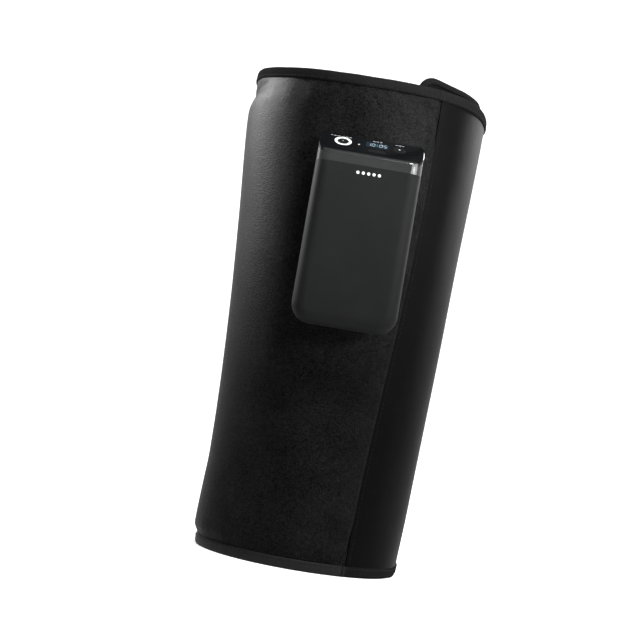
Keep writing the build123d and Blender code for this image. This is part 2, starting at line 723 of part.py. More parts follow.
with BuildPart() as pump_head:
    with BuildSketch(Plane.XY.offset(184.2)):
        with Locations((PX + MOT_U, MOT_Y)):
            RectangleRounded(14.6, 14.0, 2.5)
            Circle(4.6, mode=Mode.SUBTRACT)
    extrude(amount=8.2)
    with BuildSketch(Plane.XY.offset(192.4)):
        with Locations((PX + MOT_U, MOT_Y)):
            RectangleRounded(14.6, 14.0, 2.5)
    extrude(amount=8)
    fillet(pump_head.faces().sort_by(Axis.Z)[-1].edges(), 0.8)
    with BuildSketch(Plane.XY.offset(200.4)):
        with Locations((PX + MOT_U, MOT_Y)):
            Circle(1.6)
            Circle(0.8, mode=Mode.SUBTRACT)
    extrude(amount=6)
finish(pump_head, "pump_head")

# tube from the pump head to the manifold
with BuildPart() as air_tube:
    with BuildSketch(Plane.XY.offset(201.2)):
        with Locations((PX + MOT_U, MOT_Y)):
            Circle(2.5)
            Circle(1.62, mode=Mode.SUBTRACT)
    extrude(amount=26.8)
finish(air_tube, "air_tube")

with BuildPart() as air_manifold:
    with BuildSketch(Plane.XY.offset(228.0)):
        with Locations((PX, PC + 2.6)):
            Rectangle(46, 10.0)
    extrude(amount=8.5)
    fillet(air_manifold.edges().filter_by(Axis.Z), 1.2)
    with BuildSketch(Plane.XY.offset(222.6)):
        with Locations((PX + MOT_U, MOT_Y)):
            Circle(1.58)
    extrude(amount=6)
    # three outlets to the back
    with BuildSketch(Plane(origin=(PX, PC + 7.4, PORT_Z), x_dir=(1, 0, 0), z_dir=(0, 1, 0))):
        with GridLocations(PORT_PITCH, 1, 3, 1):
            Circle(2.2)
    extrude(amount=PB + 1.0 - PC - 7.4)
    with BuildSketch(Plane(origin=(PX, PB + 1.0, PORT_Z), x_dir=(1, 0, 0), z_dir=(0, 1, 0))):
        with GridLocations(PORT_PITCH, 1, 3, 1):
            Circle(1.1)
    extrude(amount=-10, mode=Mode.SUBTRACT)
finish(air_manifold, "air_manifold")

with BuildPart() as port_seals:
    with BuildSketch(Plane(origin=(PX, PB - SKIN, PORT_Z), x_dir=(1, 0, 0), z_dir=(0, 1, 0))):
        with GridLocations(PORT_PITCH, 1, 3, 1):
            Circle(2.88)
            Circle(2.22, mode=Mode.SUBTRACT)
    extrude(amount=SKIN)
finish(port_seals, "port_seals")

with BuildPart() as solenoid_valves:
    for u in (-17.5, -6.5, 4.5):
        with BuildSketch(Plane.XY.offset(213.2)):
            with Locations((PX + u, PC + 2.6)):
                RectangleRounded(9, 10, 1.2)
        extrude(amount=13.2)
        with BuildSketch(Plane.XY.offset(226.4)):
            with Locations((PX + u, PC + 2.6)):
                Circle(1.8)
        extrude(amount=1.6)
finish(solenoid_valves, "solenoid_valves")

with BuildPart() as pressure_sensor:
    with BuildSketch(Plane.XY.offset(236.5)):
        with Locations((PX + 16, PC + 2.6)):
            Circle(1.5)
    extrude(amount=2)
    with BuildSketch(Plane.XY.offset(238.5)):
        with Locations((PX + 16, PC + 2.6)):
            Rectangle(8, 7)
    extrude(amount=4)
finish(pressure_sensor, "pressure_sensor")

# charging socket: a metal shell with an open mouth and a centre tongue
USB_Y = PART_Y + 3.2
with BuildPart() as charging_socket:
    with BuildSketch(Plane(origin=(PX - PW / 2 + 0.9, USB_Y, 222), x_dir=(0, 1, 0),
                           z_dir=(1, 0, 0))):
        RectangleRounded(3.3, 9.1, 1.55)
    extrude(amount=7.0)
    with BuildSketch(Plane(origin=(PX - PW / 2 + 0.9, USB_Y, 222), x_dir=(0, 1, 0),
                           z_dir=(1, 0, 0))):
        RectangleRounded(2.6, 8.4, 1.2)
        RectangleRounded(0.7, 6.4, 0.3, mode=Mode.SUBTRACT)
    extrude(amount=6.0, mode=Mode.SUBTRACT)
finish(charging_socket, "charging_socket")

with BuildPart() as housing_screws:
    for u, v in SCREW_UV:
        with BuildSketch(Plane(origin=(PX + u, PART_Y - 7.5, (PZ0 + PZB) / 2 + v),
                               x_dir=(1, 0, 0), z_dir=(0, 1, 0))):
            Circle(0.96)
        extrude(amount=PB - 3.0 - PART_Y + 7.5)
        with BuildSketch(Plane(origin=(PX + u, PB - 3.0, (PZ0 + PZB) / 2 + v),
                               x_dir=(1, 0, 0), z_dir=(0, 1, 0))):
            Circle(1.95)
        extrude(amount=1.6)
        with BuildSketch(Plane(origin=(PX + u, PB - 1.4, (PZ0 + PZB) / 2 + v),
                               x_dir=(1, 0, 0), z_dir=(0, 1, 0))):
            RegularPolygon(0.9, 6)
        extrude(amount=-0.9, mode=Mode.SUBTRACT)
finish(housing_screws, "housing_screws")

# =====================================================================================
# Mount between pump and sleeve
# =====================================================================================
CR_Z0, CR_Z1, CR_W = 160.0, 262.0, 50.0
with BuildPart() as mounting_cradle:
    # a block with a flat front, its back hollowed to the sleeve's surface
    with BuildSketch(Plane(origin=(PX, PB, 0), x_dir=(-1, 0, 0), z_dir=(0, 1, 0))):
        with Locations((0, (CR_Z0 + CR_Z1) / 2)):
            RectangleRounded(CR_W, CR_Z1 - CR_Z0, 9)
    extrude(amount=18)
    with BuildSketch(meridian(-180)):
        with BuildLine():
            Polyline((0, 100),
                     *[(max(at(O_PTS, z), at(F_PTS, z)) + 0.06, z)
                       for z in levels(100, 300, O_PTS, F_PTS, [(165, 0), (215, 0)])],
                     (0, 300), (0, 100))
        make_face()
    revolve(axis=AXIS_A, revolution_arc=180, mode=Mode.SUBTRACT)
    # air ports and screw holes
    with BuildSketch(Plane(origin=(PX, PB - 1, PORT_Z), x_dir=(1, 0, 0), z_dir=(0, 1, 0))):
        with GridLocations(PORT_PITCH, 1, 3, 1):
            Circle(2.9)
    extrude(amount=20, mode=Mode.SUBTRACT)
    with BuildSketch(Plane(origin=(PX, PB - 1, MOUNT_Z), x_dir=(1, 0, 0), z_dir=(0, 1, 0))):
        with GridLocations(MOUNT_U, MOUNT_V, 2, 2):
            Circle(1.25)
    extrude(amount=20, mode=Mode.SUBTRACT)
finish(mounting_cradle, "mounting_cradle")

# flanged tubes that lead each port through the cradle and the knit
with BuildPart() as port_grommets:
    with BuildSketch(Plane(origin=(PX, PB + 1.2, PORT_Z), x_dir=(1, 0, 0), z_dir=(0, 1, 0))):
        with GridLocations(PORT_PITCH, 1, 3, 1):
            Circle(PORT_R)
            Circle(1.2, mode=Mode.SUBTRACT)
    extrude(amount=8.4)
finish(port_grommets, "port_grommets")

# four screws from inside the pump into the cradle
with BuildPart() as mount_screws:
    with BuildSketch(Plane(origin=(PX, PB - SKIN, MOUNT_Z), x_dir=(1, 0, 0), z_dir=(0, 1, 0))):
        with GridLocations(MOUNT_U, MOUNT_V, 2, 2):
            Circle(1.2)
    extrude(amount=SKIN + 5.0)
    with BuildSketch(Plane(origin=(PX, PB - SKIN - 1.5, MOUNT_Z), x_dir=(1, 0, 0),
                           z_dir=(0, 1, 0))):
        with GridLocations(MOUNT_U, MOUNT_V, 2, 2):
            Circle(2.1)
    extrude(amount=1.5)
    with BuildSketch(Plane(origin=(PX, PB - SKIN - 1.5, MOUNT_Z), x_dir=(1, 0, 0),
                           z_dir=(0, 1, 0))):
        with GridLocations(MOUNT_U, MOUNT_V, 2, 2):
            RegularPolygon(1.0, 6)
    extrude(amount=0.9, mode=Mode.SUBTRACT)
finish(mount_screws, "mount_screws")

print(len(parts), "parts")
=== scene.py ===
import json
import math

import bpy
import numpy as np
from mathutils import Matrix, Vector


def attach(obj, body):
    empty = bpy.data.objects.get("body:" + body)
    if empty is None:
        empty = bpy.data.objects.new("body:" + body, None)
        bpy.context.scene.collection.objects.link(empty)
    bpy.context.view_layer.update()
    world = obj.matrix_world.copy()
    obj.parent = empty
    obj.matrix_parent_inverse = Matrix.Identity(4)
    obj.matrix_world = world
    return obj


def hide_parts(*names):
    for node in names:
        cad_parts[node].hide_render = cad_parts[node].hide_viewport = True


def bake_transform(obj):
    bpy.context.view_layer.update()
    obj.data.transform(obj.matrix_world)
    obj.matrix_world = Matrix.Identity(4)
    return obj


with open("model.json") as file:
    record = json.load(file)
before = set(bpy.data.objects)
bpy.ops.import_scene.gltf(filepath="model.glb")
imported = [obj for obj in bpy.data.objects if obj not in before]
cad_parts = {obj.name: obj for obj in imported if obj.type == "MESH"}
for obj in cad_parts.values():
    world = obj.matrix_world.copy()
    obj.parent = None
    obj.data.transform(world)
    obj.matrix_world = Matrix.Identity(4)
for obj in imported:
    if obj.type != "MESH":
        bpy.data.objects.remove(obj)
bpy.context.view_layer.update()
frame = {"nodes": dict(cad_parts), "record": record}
NODES = frame["nodes"]
RNG = np.random.RandomState(7)
MM = 0.001

# ---------------------------------------------------------------------------
# Sleeve axis and section, in millimetres, as the CAD has them
# ---------------------------------------------------------------------------
X0, Y0, H = 0.55, 13.2, 310.0
SPIRAL = 4.0
KNIT, LINE, FLAP, TAIL = 1.6, 1.2, 3.0, 2.2
SEAM0, SEAM1 = 28.8, 33.6            # seam's angle at the lower and upper hem
B_END, T_END = -205.0, -332.0        # where the panel ends and the tail ends


def smooth(x):
    x = np.clip(x, 0, 1)
    return x * x * (3 - 2 * x)


def curve(points, sigma=2.5):
    """Smooth function through (z, value) points."""
    zs = np.arange(-40, 361, 0.5)
    v = np.interp(zs, [p[0] for p in points], [p[1] for p in points])
    k = np.exp(-0.5 * (np.arange(-40, 41) * 0.5 / sigma) ** 2)
    k /= k.sum()
    pad = np.concatenate([np.full(40, v[0]), v, np.full(40, v[-1])])
    v = np.convolve(pad, k, mode="valid")
    return lambda z: np.interp(z, zs, v)


left_c = curve([(0, 69.7), (17, 69.9), (31, 69.6), (44, 69.0), (58, 68.2), (85, 68.4), (113, 69.1),
                (145, 70.5), (170, 71.9), (199, 74.2), (224, 76.3), (256, 79.2), (272, 80.4),
                (285, 81.3), (297, 81.4), (310, 81.4)], 5)
front_c = curve([(0, 70.2), (37, 70.6), (60, 70.9), (113, 72.6), (170, 75.0), (222, 77.3),
                 (256, 79.2), (284, 81.0), (297, 81.2), (310, 81.2)], 6)
flap_c = curve([(-10, 66.8), (1, 67.0), (10, 67.3), (37, 68.8), (99, 71.2), (160, 73.5), (222, 75.5),
                (284, 77.9), (309, 78.6), (330, 79.1)], 4)
hem_c = curve([(0, 66.9), (9, 66.9), (150, 72.6), (298, 78.9), (310, 78.9)], 3)
cad_c = curve([(1, 67.0), (8, 67.0), (15, 69.4), (37, 69.8), (60, 69.9), (113, 71.4), (170, 73.8),
               (222, 76.2), (256, 78.2), (284, 80.6), (292, 80.4), (298, 78.9), (309, 78.9)], 3)
depth_c = curve([(1, 0), (9, 0), (15, 5), (30, 9), (88, 9), (100, 6), (106, 2.4), (112, 6), (124, 9),
                 (186, 9), (198, 6), (204, 2.4), (210, 6), (222, 9), (276, 9), (289, 5), (297, 0),
                 (309, 0)], 2.2)


def pillow(x):
    x = np.clip(x, 0, 1)
    return 0.55 * np.sqrt(1 - (1 - x) ** 2) + 0.45 * smooth(x)


SEAM_Z = (0, 20, 40, 81, 128, 190, 244, 280, 310)
SEAM_A = (28.8, 28.6, 28.7, 29.9, 32.0, 34.8, 35.8, 35.0, 33.6)
_sz = np.arange(0, 311, 1.0)
_sa = np.interp(_sz, SEAM_Z, SEAM_A)
_k = np.exp(-0.5 * (np.arange(-30, 31) / 12.0) ** 2)
_sa = np.convolve(np.concatenate([np.full(30, _sa[0]), _sa, np.full(30, _sa[-1])]), _k / _k.sum(), mode="valid")


def seam_deg(z):
    """Angle of the seam about the sleeve's axis at height z."""
    return np.interp(z, _sz, _sa)


RIM_A = (-230, -205, -170, -140, -110, -85, -70, -47, -32, -16, 0, 14, 25, 35, 42, 50, 57, 64, 69, 76, 90, 120, 150)
RIM_Z = (0.0, 0.4, 1.8, 4.4, 7.6, 9.3, 8.2, 5.1, 3.8, 2.5, 2.1, 2.7, 3.4, 4.0, 4.3, 4.6, 4.4, 3.8, 3.2, 2.2, 0.8, 0.2, 0.0)


def rim_lift(theta, z):
    """The cloth's upper rim isn't level: it stands a few millimetres higher on the left."""
    return np.interp(theta, RIM_A, RIM_Z) * smooth((z - 284) / 22)


def place(theta, r, z):
    """Point of the wrap. Past the left side the wrap turns about an axis set over to the left."""
    theta, r, z = np.broadcast_arrays(np.asarray(theta, float), np.asarray(r, float), np.asarray(z, float))
    back = theta < -90
    shift = np.where(back, SPIRAL, 0.0)
    a = np.radians(theta)
    rr = r - shift
    return np.stack([X0 - shift + rr * np.sin(a), Y0 - rr * np.cos(a), z + rim_lift(theta, z)], -1) * MM


def noise(seed, waves, lo, hi):
    """Sum of a few sine waves over (angle in radians, height in mm)."""
    rs = np.random.RandomState(seed)
    items = [(rs.uniform(lo, hi), rs.uniform(-0.06, 0.06), rs.uniform(0, 2 * math.pi), rs.uniform(0.5, 1))
             for _ in range(waves)]

    def f(theta, z):
        a = np.radians(theta)
        s = 0
        for k, kz, p, w in items:
            s = s + w * np.sin(k * a + kz * z + p)
        return s / waves ** 0.5
    return f


soft_a = noise(1, 7, 3, 9)
soft_b = noise(2, 9, 14, 34)
soft_c = noise(3, 9, 30, 80)


def chamber_mask(theta, z, crease=False):
    """0 on the flat edges, 1 on the inflated part, with rounded corners."""
    s_seam = np.radians(seam_deg(z) - 1.2 - theta) * 74.0         # mm from the seam
    s_back = np.radians(theta - (B_END + 1.5)) * 72.0
    dx = np.minimum(s_seam, s_back)
    top = np.interp(theta, [-205, -120, -90, -70, -48, 0, 40], [292.8, 292.8, 294.3, 297.6, 301.5, 302.0, 301.0])
    dz = np.minimum(z - 8.2, top - z)
    rc = 13.0
    cx, cz = np.maximum(rc - dx, 0), np.maximum(rc - dz, 0)
    inside = np.where((dx < rc) & (dz < rc), rc - np.hypot(cx, cz), np.minimum(dx, dz))
    width = np.where(dx < dz, 13.0, np.interp(theta, [-75, -35], [6.0, 9.5]))
    if crease:
        left = smooth((z - 200) / 30) * smooth((300.0 - top) / 2.5)
        corners = (smooth((z - 272) / 16) + smooth((34 - z) / 14)) * smooth((theta - 4) / 12)
        return np.exp(-((inside + 0.6) / 1.7) ** 2) * (left + 0.8 * corners)
    return pillow(inside / width)


def flat_r(theta, z):
    near = smooth((theta - 5) / 22)
    drop = -0.25 * smooth((z - 7) / 6) * smooth((303 - z) / 6)
    back = smooth((-theta - 185) / 18)
    r = hem_c(z) * (1 - near) + (flap_c(z) - drop) * near
    return r * (1 - back) + (flap_c(z) + 1.2) * back


def knit_r(theta, z):
    w = smooth((theta + 95) / 75)
    c = left_c(z) * (1 - w) + front_c(z) * w
    wb = smooth((-theta - 95) / 60)
    c = c * (1 - wb) + (cad_c(z) + 0.3) * wb
    m = chamber_mask(theta, z)
    r = flat_r(theta, z)
    r = r + (c - r) * m
    pucker = np.exp(-((z - 296) / 7.0) ** 2) + 0.8 * np.exp(-((z - 12) / 6.0) ** 2)
    seam = np.exp(-(np.radians(seam_deg(z) - 5 - theta) * 74 / 7.0) ** 2)
    r = r + m * (0.28 * soft_a(theta, z)) + 0.20 * pucker * soft_b(theta, z) + 0.07 * pucker * soft_c(theta, z)
    r = r + 0.10 * seam * soft_b(theta * 0.2, z * 9)
    d = np.radians(seam_deg(z) - theta) * 74
    r = r - 1.1 * chamber_mask(theta, z, True)
    return r + m * 1.3 * np.exp(-((d - 8.5) / 6.0) ** 2) * (0.35 + 0.65 * smooth((z - 110) / 80))


def lining_r(theta, z):
    """Outer face of the lining."""
    m = smooth((24.0 - theta) / 13.0) * smooth((theta - (B_END + 2.0)) / 13.0)
    weld = np.exp(-((z - 106) / 7.0) ** 2) + np.exp(-((z - 204) / 7.0) ** 2)
    base = np.minimum(knit_r(theta, z) - KNIT - 0.05, cad_c(z) - KNIT + 2.5 * (1 - m))
    d = depth_c(z) * m
    puck = (0.45 * weld + 0.12) * m * (soft_b(theta, z) + 0.5 * soft_c(theta, z)) * smooth((z - 12) / 10) * smooth((292 - z) / 10)
    r = np.minimum(base, (cad_c(z) - KNIT) * m + base * (1 - m)) - d + puck
    end = smooth((theta - 14) / 9)
    r = r * (1 - end) + (flap_c(z) - FLAP + LINE + 0.02) * end
    back = smooth((-theta - 192) / 11)
    return r * (1 - back) + (flap_c(z) - 0.6 - TAIL - 0.1) * back


def tail_r(z):
    return flap_c(z) - 0.6


def flap_out(theta, z):
    s = np.radians(theta - seam_deg(z)) * 74
    sunk = 0.8 * np.exp(-(s / 10.0) ** 2) * smooth((z - 12) / 30) * smooth((298 - z) / 16)
    return (flap_c(z) + 0.1 - sunk - 1.7 * smooth((theta - 112) / 34)
            + 0.16 * soft_a(theta + 40, z) * smooth((theta - 38) / 10))


def flap_in(theta, z):
    return flap_out(theta, z) - FLAP + 0.9 * smooth((theta - 140) / 10)


# ---------------------------------------------------------------------------
# Mesh helpers
# ---------------------------------------------------------------------------
def make_object(name, verts, faces, uvs=None, sharp=None):
    me = bpy.data.meshes.new(name)
    me.from_pydata([tuple(v) for v in verts], [], faces)
    me.validate(clean_customdata=False)
    if uvs is not None:
        layer = me.uv_layers.new(name="cloth")
        idx = np.empty(len(me.loops), int)
        me.loops.foreach_get("vertex_index", idx)
        layer.data.foreach_set("uv", np.asarray(uvs, float)[idx].ravel())
    me.polygons.foreach_set("use_smooth", [True] * len(me.polygons))
    if sharp is not None:
        me.set_sharp_from_angle(angle=math.radians(sharp))
    me.update()
    ob = bpy.data.objects.new(name, me)
    bpy.context.scene.collection.objects.link(ob)
    return ob


def grid_shell(name, outer, inner, uv, sharp=50):
    """Closed shell between two grids of points (n, m, 3)."""
    n, m, _ = outer.shape
    verts = np.concatenate([outer.reshape(-1, 3), inner.reshape(-1, 3)])
    uvs = np.concatenate([uv.reshape(-1, 2), uv.reshape(-1, 2) + [1.0, 0]])
    off = n * m
    faces = []
    for i in range(n - 1):
        for j in range(m - 1):
            a, b, c, d = i * m + j, (i + 1) * m + j, (i + 1) * m + j + 1, i * m + j + 1
            faces.append((a, b, c, d))
            faces.append((off + d, off + c, off + b, off + a))
    for i in range(n - 1):
        for j, flip in ((0, False), (m - 1, True)):
            a, b = i * m + j, (i + 1) * m + j
            q = (b, a, off + a, off + b)
            faces.append(q[::-1] if flip else q)
    for j in range(m - 1):
        for i, flip in ((0, True), (n - 1, False)):
            a, b = i * m + j, i * m + j + 1
            q = (b, a, off + a, off + b)
            faces.append(q[::-1] if flip else q)
    ob = make_object(name, verts, faces, uvs, sharp)
    return fix_normals(ob)


def fix_normals(ob):
    """Turns a closed mesh's faces outwards."""
    me = ob.data
    co = np.array([v.co for v in me.vertices])
    vol = 0.0
    for p in me.polygons:
        vs = p.vertices
        for k in range(1, len(vs) - 1):
            vol += np.dot(co[vs[0]], np.cross(co[vs[k]], co[vs[k + 1]]))
    if vol < 0:
        me.flip_normals()
    return ob


def sweep(name, pts, normals, edges, profile, closed=False, uv_scale=1.0, sharp=60):
    """Sweeps a closed profile of (across, along-edge) offsets, in mm, on a path of points."""
    n, m = len(pts), len(profile)
    verts = np.empty((n, m, 3))
    for j, (o, h) in enumerate(profile):
        verts[:, j] = pts + normals * (o * MM) + edges * (h * MM)
    step = np.concatenate([[0], np.cumsum(np.linalg.norm(np.diff(pts, axis=0), axis=1))])
    pl = np.concatenate([[0], np.cumsum(np.hypot(*np.diff(np.array(profile), axis=0).T))]) * MM
    uv = np.stack(np.broadcast_arrays(step[:, None], pl[None, :]), -1)
    faces = []
    for i in range(n if closed else n - 1):
        k = (i + 1) % n
        for j in range(m):
            l = (j + 1) % m
            faces.append((i * m + j, k * m + j, k * m + l, i * m + l))
    if not closed:
        faces.append(tuple(range(m)))
        faces.append(tuple((n - 1) * m + j for j in reversed(range(m))))
    ob = make_object(name, verts.reshape(-1, 3), faces, uv.reshape(-1, 2), sharp)
    return fix_normals(ob)


def rows(a, b, n):
    return np.linspace(a, b, n)


def radial(theta):
    a = np.radians(theta)
    return np.stack([np.sin(a), -np.cos(a), np.zeros_like(a)], -1)


# ---------------------------------------------------------------------------
# Sleeve panels
# ---------------------------------------------------------------------------
def panel_grid(n, z0, z1, dz):
    zs = rows(z0, z1, int(round((z1 - z0) / dz)) + 1)
    s = rows(0, 1, n)[:, None]
    end = seam_deg(zs)[None, :] - 0.12
    theta = B_END + s * (end - B_END)
    return theta, np.broadcast_to(zs[None, :], theta.shape)


def cloth_uv(theta, z):
    return np.stack([np.radians(theta) * 0.074, z * MM], -1)


def ease_ends(n, power=0.5):
    t = rows(0, 1, n)
    return t


def make_knit():
    th, z = panel_grid(211, 1.0, 309.0, 2.0)
    r = knit_r(th, z)
    d = np.radians(seam_deg(z) - 0.12 - th) * 74
    r = r - 0.75 * (1 - smooth(d / 1.3)) ** 2
    outer = place(th, r, z)
    inner = place(th, r - KNIT + 0.5 * (1 - smooth(d / 1.6)), z)
    ob = grid_shell("sleeve_knit", outer, inner, cloth_uv(th, z))
    return ob


def make_lining():
    th, z = panel_grid(211, 1.0, 309.0, 2.0)
    r = np.minimum(lining_r(th, z), knit_r(th, z) - KNIT - 0.06)
    return grid_shell("sleeve_lining", place(th, r, z), place(th, r - LINE, z), cloth_uv(th, z))


def make_bladder(name, z0, z1):
    zs = rows(z0, z1, int((z1 - z0) / 2.5) + 1)
    th = rows(B_END + 6, 17.0, 150)[:, None]
    th, z = np.broadcast_arrays(th, zs[None, :])
    k = knit_r(th, z) - KNIT - 0.12
    l = np.minimum(lining_r(th, z), k - 0.1) + 0.12
    edge = np.minimum(np.minimum(z - z0, z1 - z), np.minimum(17.0 - th, th - B_END - 6) * 1.25)
    f = np.sqrt(np.clip(edge / 7.0, 0, 1))
    mid, half = (k + l) / 2, np.maximum((k - l) / 2, 0.12) * (0.12 + 0.88 * f)
    return grid_shell(name, place(th, mid + half, z), place(th, mid - half, z), cloth_uv(th, z), 80)


knit_ob = make_knit()
lining_ob = make_lining()
bladder_obs = [make_bladder("lower_bladder_pad", 15, 103.5), make_bladder("middle_bladder_pad", 108.5, 201.5),
               make_bladder("upper_bladder_pad", 206.5, 289)]


# ---------------------------------------------------------------------------
# Closure flap and inner tail
# ---------------------------------------------------------------------------
def corner(d, radius):
    """Inset of an outline at distance d from its end, for a rounded corner."""
    d = np.clip(d, 0, radius)
    return radius - np.sqrt(np.maximum(radius ** 2 - (radius - d) ** 2, 0))


def flap_grid():
    n, m = 150, 156
    u = rows(0, 1, n)
    u = 1 - (1 - u) ** 1.25                             # closer columns at the free end
    th0 = seam_deg(rows(0, H, m)) + 0.12
    end = np.interp(rows(0, 1, m), [0, 1], [148.6, 148.4])
    th = th0[None, :] + u[:, None] * (end - th0)[None, :]
    d = (1 - u) * 150.0
    mid = (1 - u) * 32 + u * 148.5
    y = -73 * np.cos(np.radians(mid))
    low = 1.0 + np.maximum(0, 0.09 * (y + 20)) * smooth((y + 26) / 20) + corner(d, 20.0)
    high = 309.0 - corner(d, 17.0)
    t = rows(0, 1, m)[None, :]
    z = low[:, None] + t * (high - low)[:, None]
    # the seam's own angle at that height
    th0 = seam_deg(z) + 0.12
    end = 148.5
    th = th0 + u[:, None] * (end - th0)
    return th, z


def make_flap():
    th, z = flap_grid()
    s = np.radians(th - seam_deg(z)) * 74
    edge = (1 - smooth(s / 1.6)) ** 2
    r = flap_out(th, z) - 0.15 * edge
    ri = flap_in(th, z) + 0.4 * edge
    fl = place(th, r, z), place(th, ri, z)
    return grid_shell("closure_flap_shell", fl[0], fl[1], cloth_uv(th, z)), th, z


flap_ob, FTH, FZ = make_flap()


def tail_grid():
    n, m = 120, 156
    u = rows(0, 1, n)
    u = 1 - (1 - u) ** 1.15
    a0, a1 = -203.5, T_END
    th_c = a0 + u * (a1 - a0)
    y = -72 * np.cos(np.radians(th_c))
    d = (1 - u) * 158.0
    top = np.interp(y, [-66, -60, -56, -52, -46, -40, -35, -30, -20, -10, 5, 20, 45, 80],
                    [321.2, 321.0, 320.7, 320.2, 319.9, 319.8, 319.3, 318.8, 318.0, 317.1, 315.8, 313.6, 310.7, 309.0]) - corner(d, 10.0) * 1.1
    top = np.where(th_c > -222, np.minimum(top, 309.0), top)
    low = 1.5 + corner(d, 10.0)
    t = rows(0, 1, m)[None, :]
    z = low[:, None] + t * (top - low)[:, None]
    # the free end leans back towards the lower hem
    end = np.interp(z, [0, 12, 296, 320], [-325.5, -328.0, -333.5, -334.0])
    th = a0 + u[:, None] * (end - a0)
    return th, z


TTH, TZ = tail_grid()


def tail_out(theta, z):
    """The tail's free upper edge leans out over the flap's rim on the right."""
    side = smooth((theta + 318) / 30) * (1 - smooth((theta + 240) / 26))
    return tail_r(z) + 0.10 * soft_a(theta, z) + 3.9 * side * smooth((z - 309) / 10)


tail_ob = grid_shell("tail_sheet", place(TTH, tail_out(TTH, TZ), TZ),
                     place(TTH, tail_out(TTH, TZ) - TAIL, TZ), cloth_uv(TTH, TZ))


def strip_grid(t0, t1, z0, z1, r_out, r_in, name, n, m, rad=3.0):
    th = rows(t0, t1, n)
    d = np.minimum(np.abs(th - t0), np.abs(th - t1)) * math.radians(1) * 72
    c = corner(d, rad)
    t = rows(0, 1, m)[None, :]
    z = (z0 + c)[:, None] + t * (z1 - z0 - 2 * c)[:, None]
    th = np.broadcast_to(th[:, None], z.shape)
    return grid_shell(name, place(th, r_out(th, z), z), place(th, r_in(th, z), z), cloth_uv(th, z))


hook_obs = []
for i, (z0, z1) in enumerate(((36, 96), (126, 186), (216, 276))):
    hook_obs.append(strip_grid(106, 134, z0, z1, lambda t, z: flap_in(t, z) + 0.05,
                               lambda t, z: flap_in(t, z) - 0.75, f"hook_strip_{i + 1}", 40, 66))
loop_ob = strip_grid(-222, -300, 20, 290, lambda t, z: tail_out(t, z) + 0.55,
                     lambda t, z: tail_out(t, z) - 0.05, "loop_pile", 80, 136, 4.0)


# ---------------------------------------------------------------------------
# Bindings: folded tape swept along each edge
# ---------------------------------------------------------------------------
def u_profile(half, tape=0.95, band=6.0, over=0.9, seed=0):
    o = half + tape
    side = [(half - 0.1, -band), (half + 0.35, -band - 0.05), (o - 0.18, -band + 0.45), (o, -band + 1.2),
            (o + 0.12, -band * 0.55), (o + 0.06, -1.6), (o - 0.12, -0.5), (half + 0.35, over * 0.62),
            (half * 0.55, over * 0.96)]
    return side + [(-a, b) for a, b in reversed(side)]


def resample(pts, step=1.6, closed=False):
    d = np.concatenate([[0], np.cumsum(np.linalg.norm(np.diff(pts, axis=0), axis=1))])
    n = max(int(d[-1] / (step * MM)), 8)
    t = np.linspace(0, d[-1], n)
    return np.stack([np.interp(t, d, pts[:, k]) for k in range(3)], -1)


def frame_along(pts, axis_shift, outward_ref, smooth_n=3):
    """Radial normal and in-panel outward direction on a path of points."""
    centre = np.stack([np.full(len(pts), (X0 - axis_shift) * MM), np.full(len(pts), Y0 * MM), pts[:, 2]], -1)
    n = pts - centre
    n /= np.linalg.norm(n, axis=1)[:, None]
    t = np.gradient(pts, axis=0)
    for _ in range(smooth_n):
        t[1:-1] = (t[:-2] + t[1:-1] + t[2:]) / 3
    t /= np.linalg.norm(t, axis=1)[:, None]
    e = np.cross(n, t)
    e /= np.linalg.norm(e, axis=1)[:, None]
    # same side all the way: away from the panel's centre at the first point
    s = np.sign(np.dot(e[0], outward_ref))
    return n, e * s


def wobble(pts, n, amount, seed, step=9.0):
    rs = np.random.RandomState(seed)
    m = max(int(len(pts) * 1.6 / step), 4)
    k = rs.uniform(-1, 1, m + 1)
    x = np.linspace(0, m, len(pts))
    i = np.minimum(x.astype(int), m - 1)
    f = smooth(x - i)
    return pts + n * ((k[i] * (1 - f) + k[i + 1] * f) * amount * MM)[:, None]


def bind_path(theta, r, z, shift_from=-90):
    return place(theta, r, z)


def rim_binding(name, top):
    th = rows(B_END + 0.2, (SEAM1 if top else SEAM0) - 0.25, 420)
    edge = 309.0 if top else 1.0
    z = np.full_like(th, edge)
    r = knit_r(th, z)
    half = (KNIT + LINE) / 2
    near = smooth((th - 8) / 14) * (1 - smooth((th - (SEAM1 if top else SEAM0) + 9) / 8))
    back = smooth((-th - 190) / 12)
    mid = r - half - near * 0.45 - back * 1.0
    pts = place(th, mid, z)
    n, _ = frame_along(pts, 0, (0, 0, 1))
    pts = wobble(pts, n, 0.12, 11 if top else 12)
    n, e = frame_along(pts, 0, (0, 0, 1 if top else -1))
    halves = half + near * 0.35 + back * 0.8
    prof = u_profile(half)
    ob = sweep(name, pts, n, e, prof)
    # the tape is thicker where it takes in the flap side's layers
    me = ob.data
    m = len(prof)
    co = np.array([v.co for v in me.vertices])
    for j, (o, h) in enumerate(prof):
        extra = (halves - half) * (1 if o > 0 else -1) * min(abs(o) / half, 1)
        co[j::m][: len(pts)] += n * (extra * MM)[:, None]
    me.vertices.foreach_set("co", co.ravel())
    me.update()
    return ob, pts, n, e, halves


top_ob, TP, TN, TE, TH_HALF = rim_binding("top_rim_binding", True)
bot_ob, BP, BN, BE, BH_HALF = rim_binding("bottom_rim_binding", False)


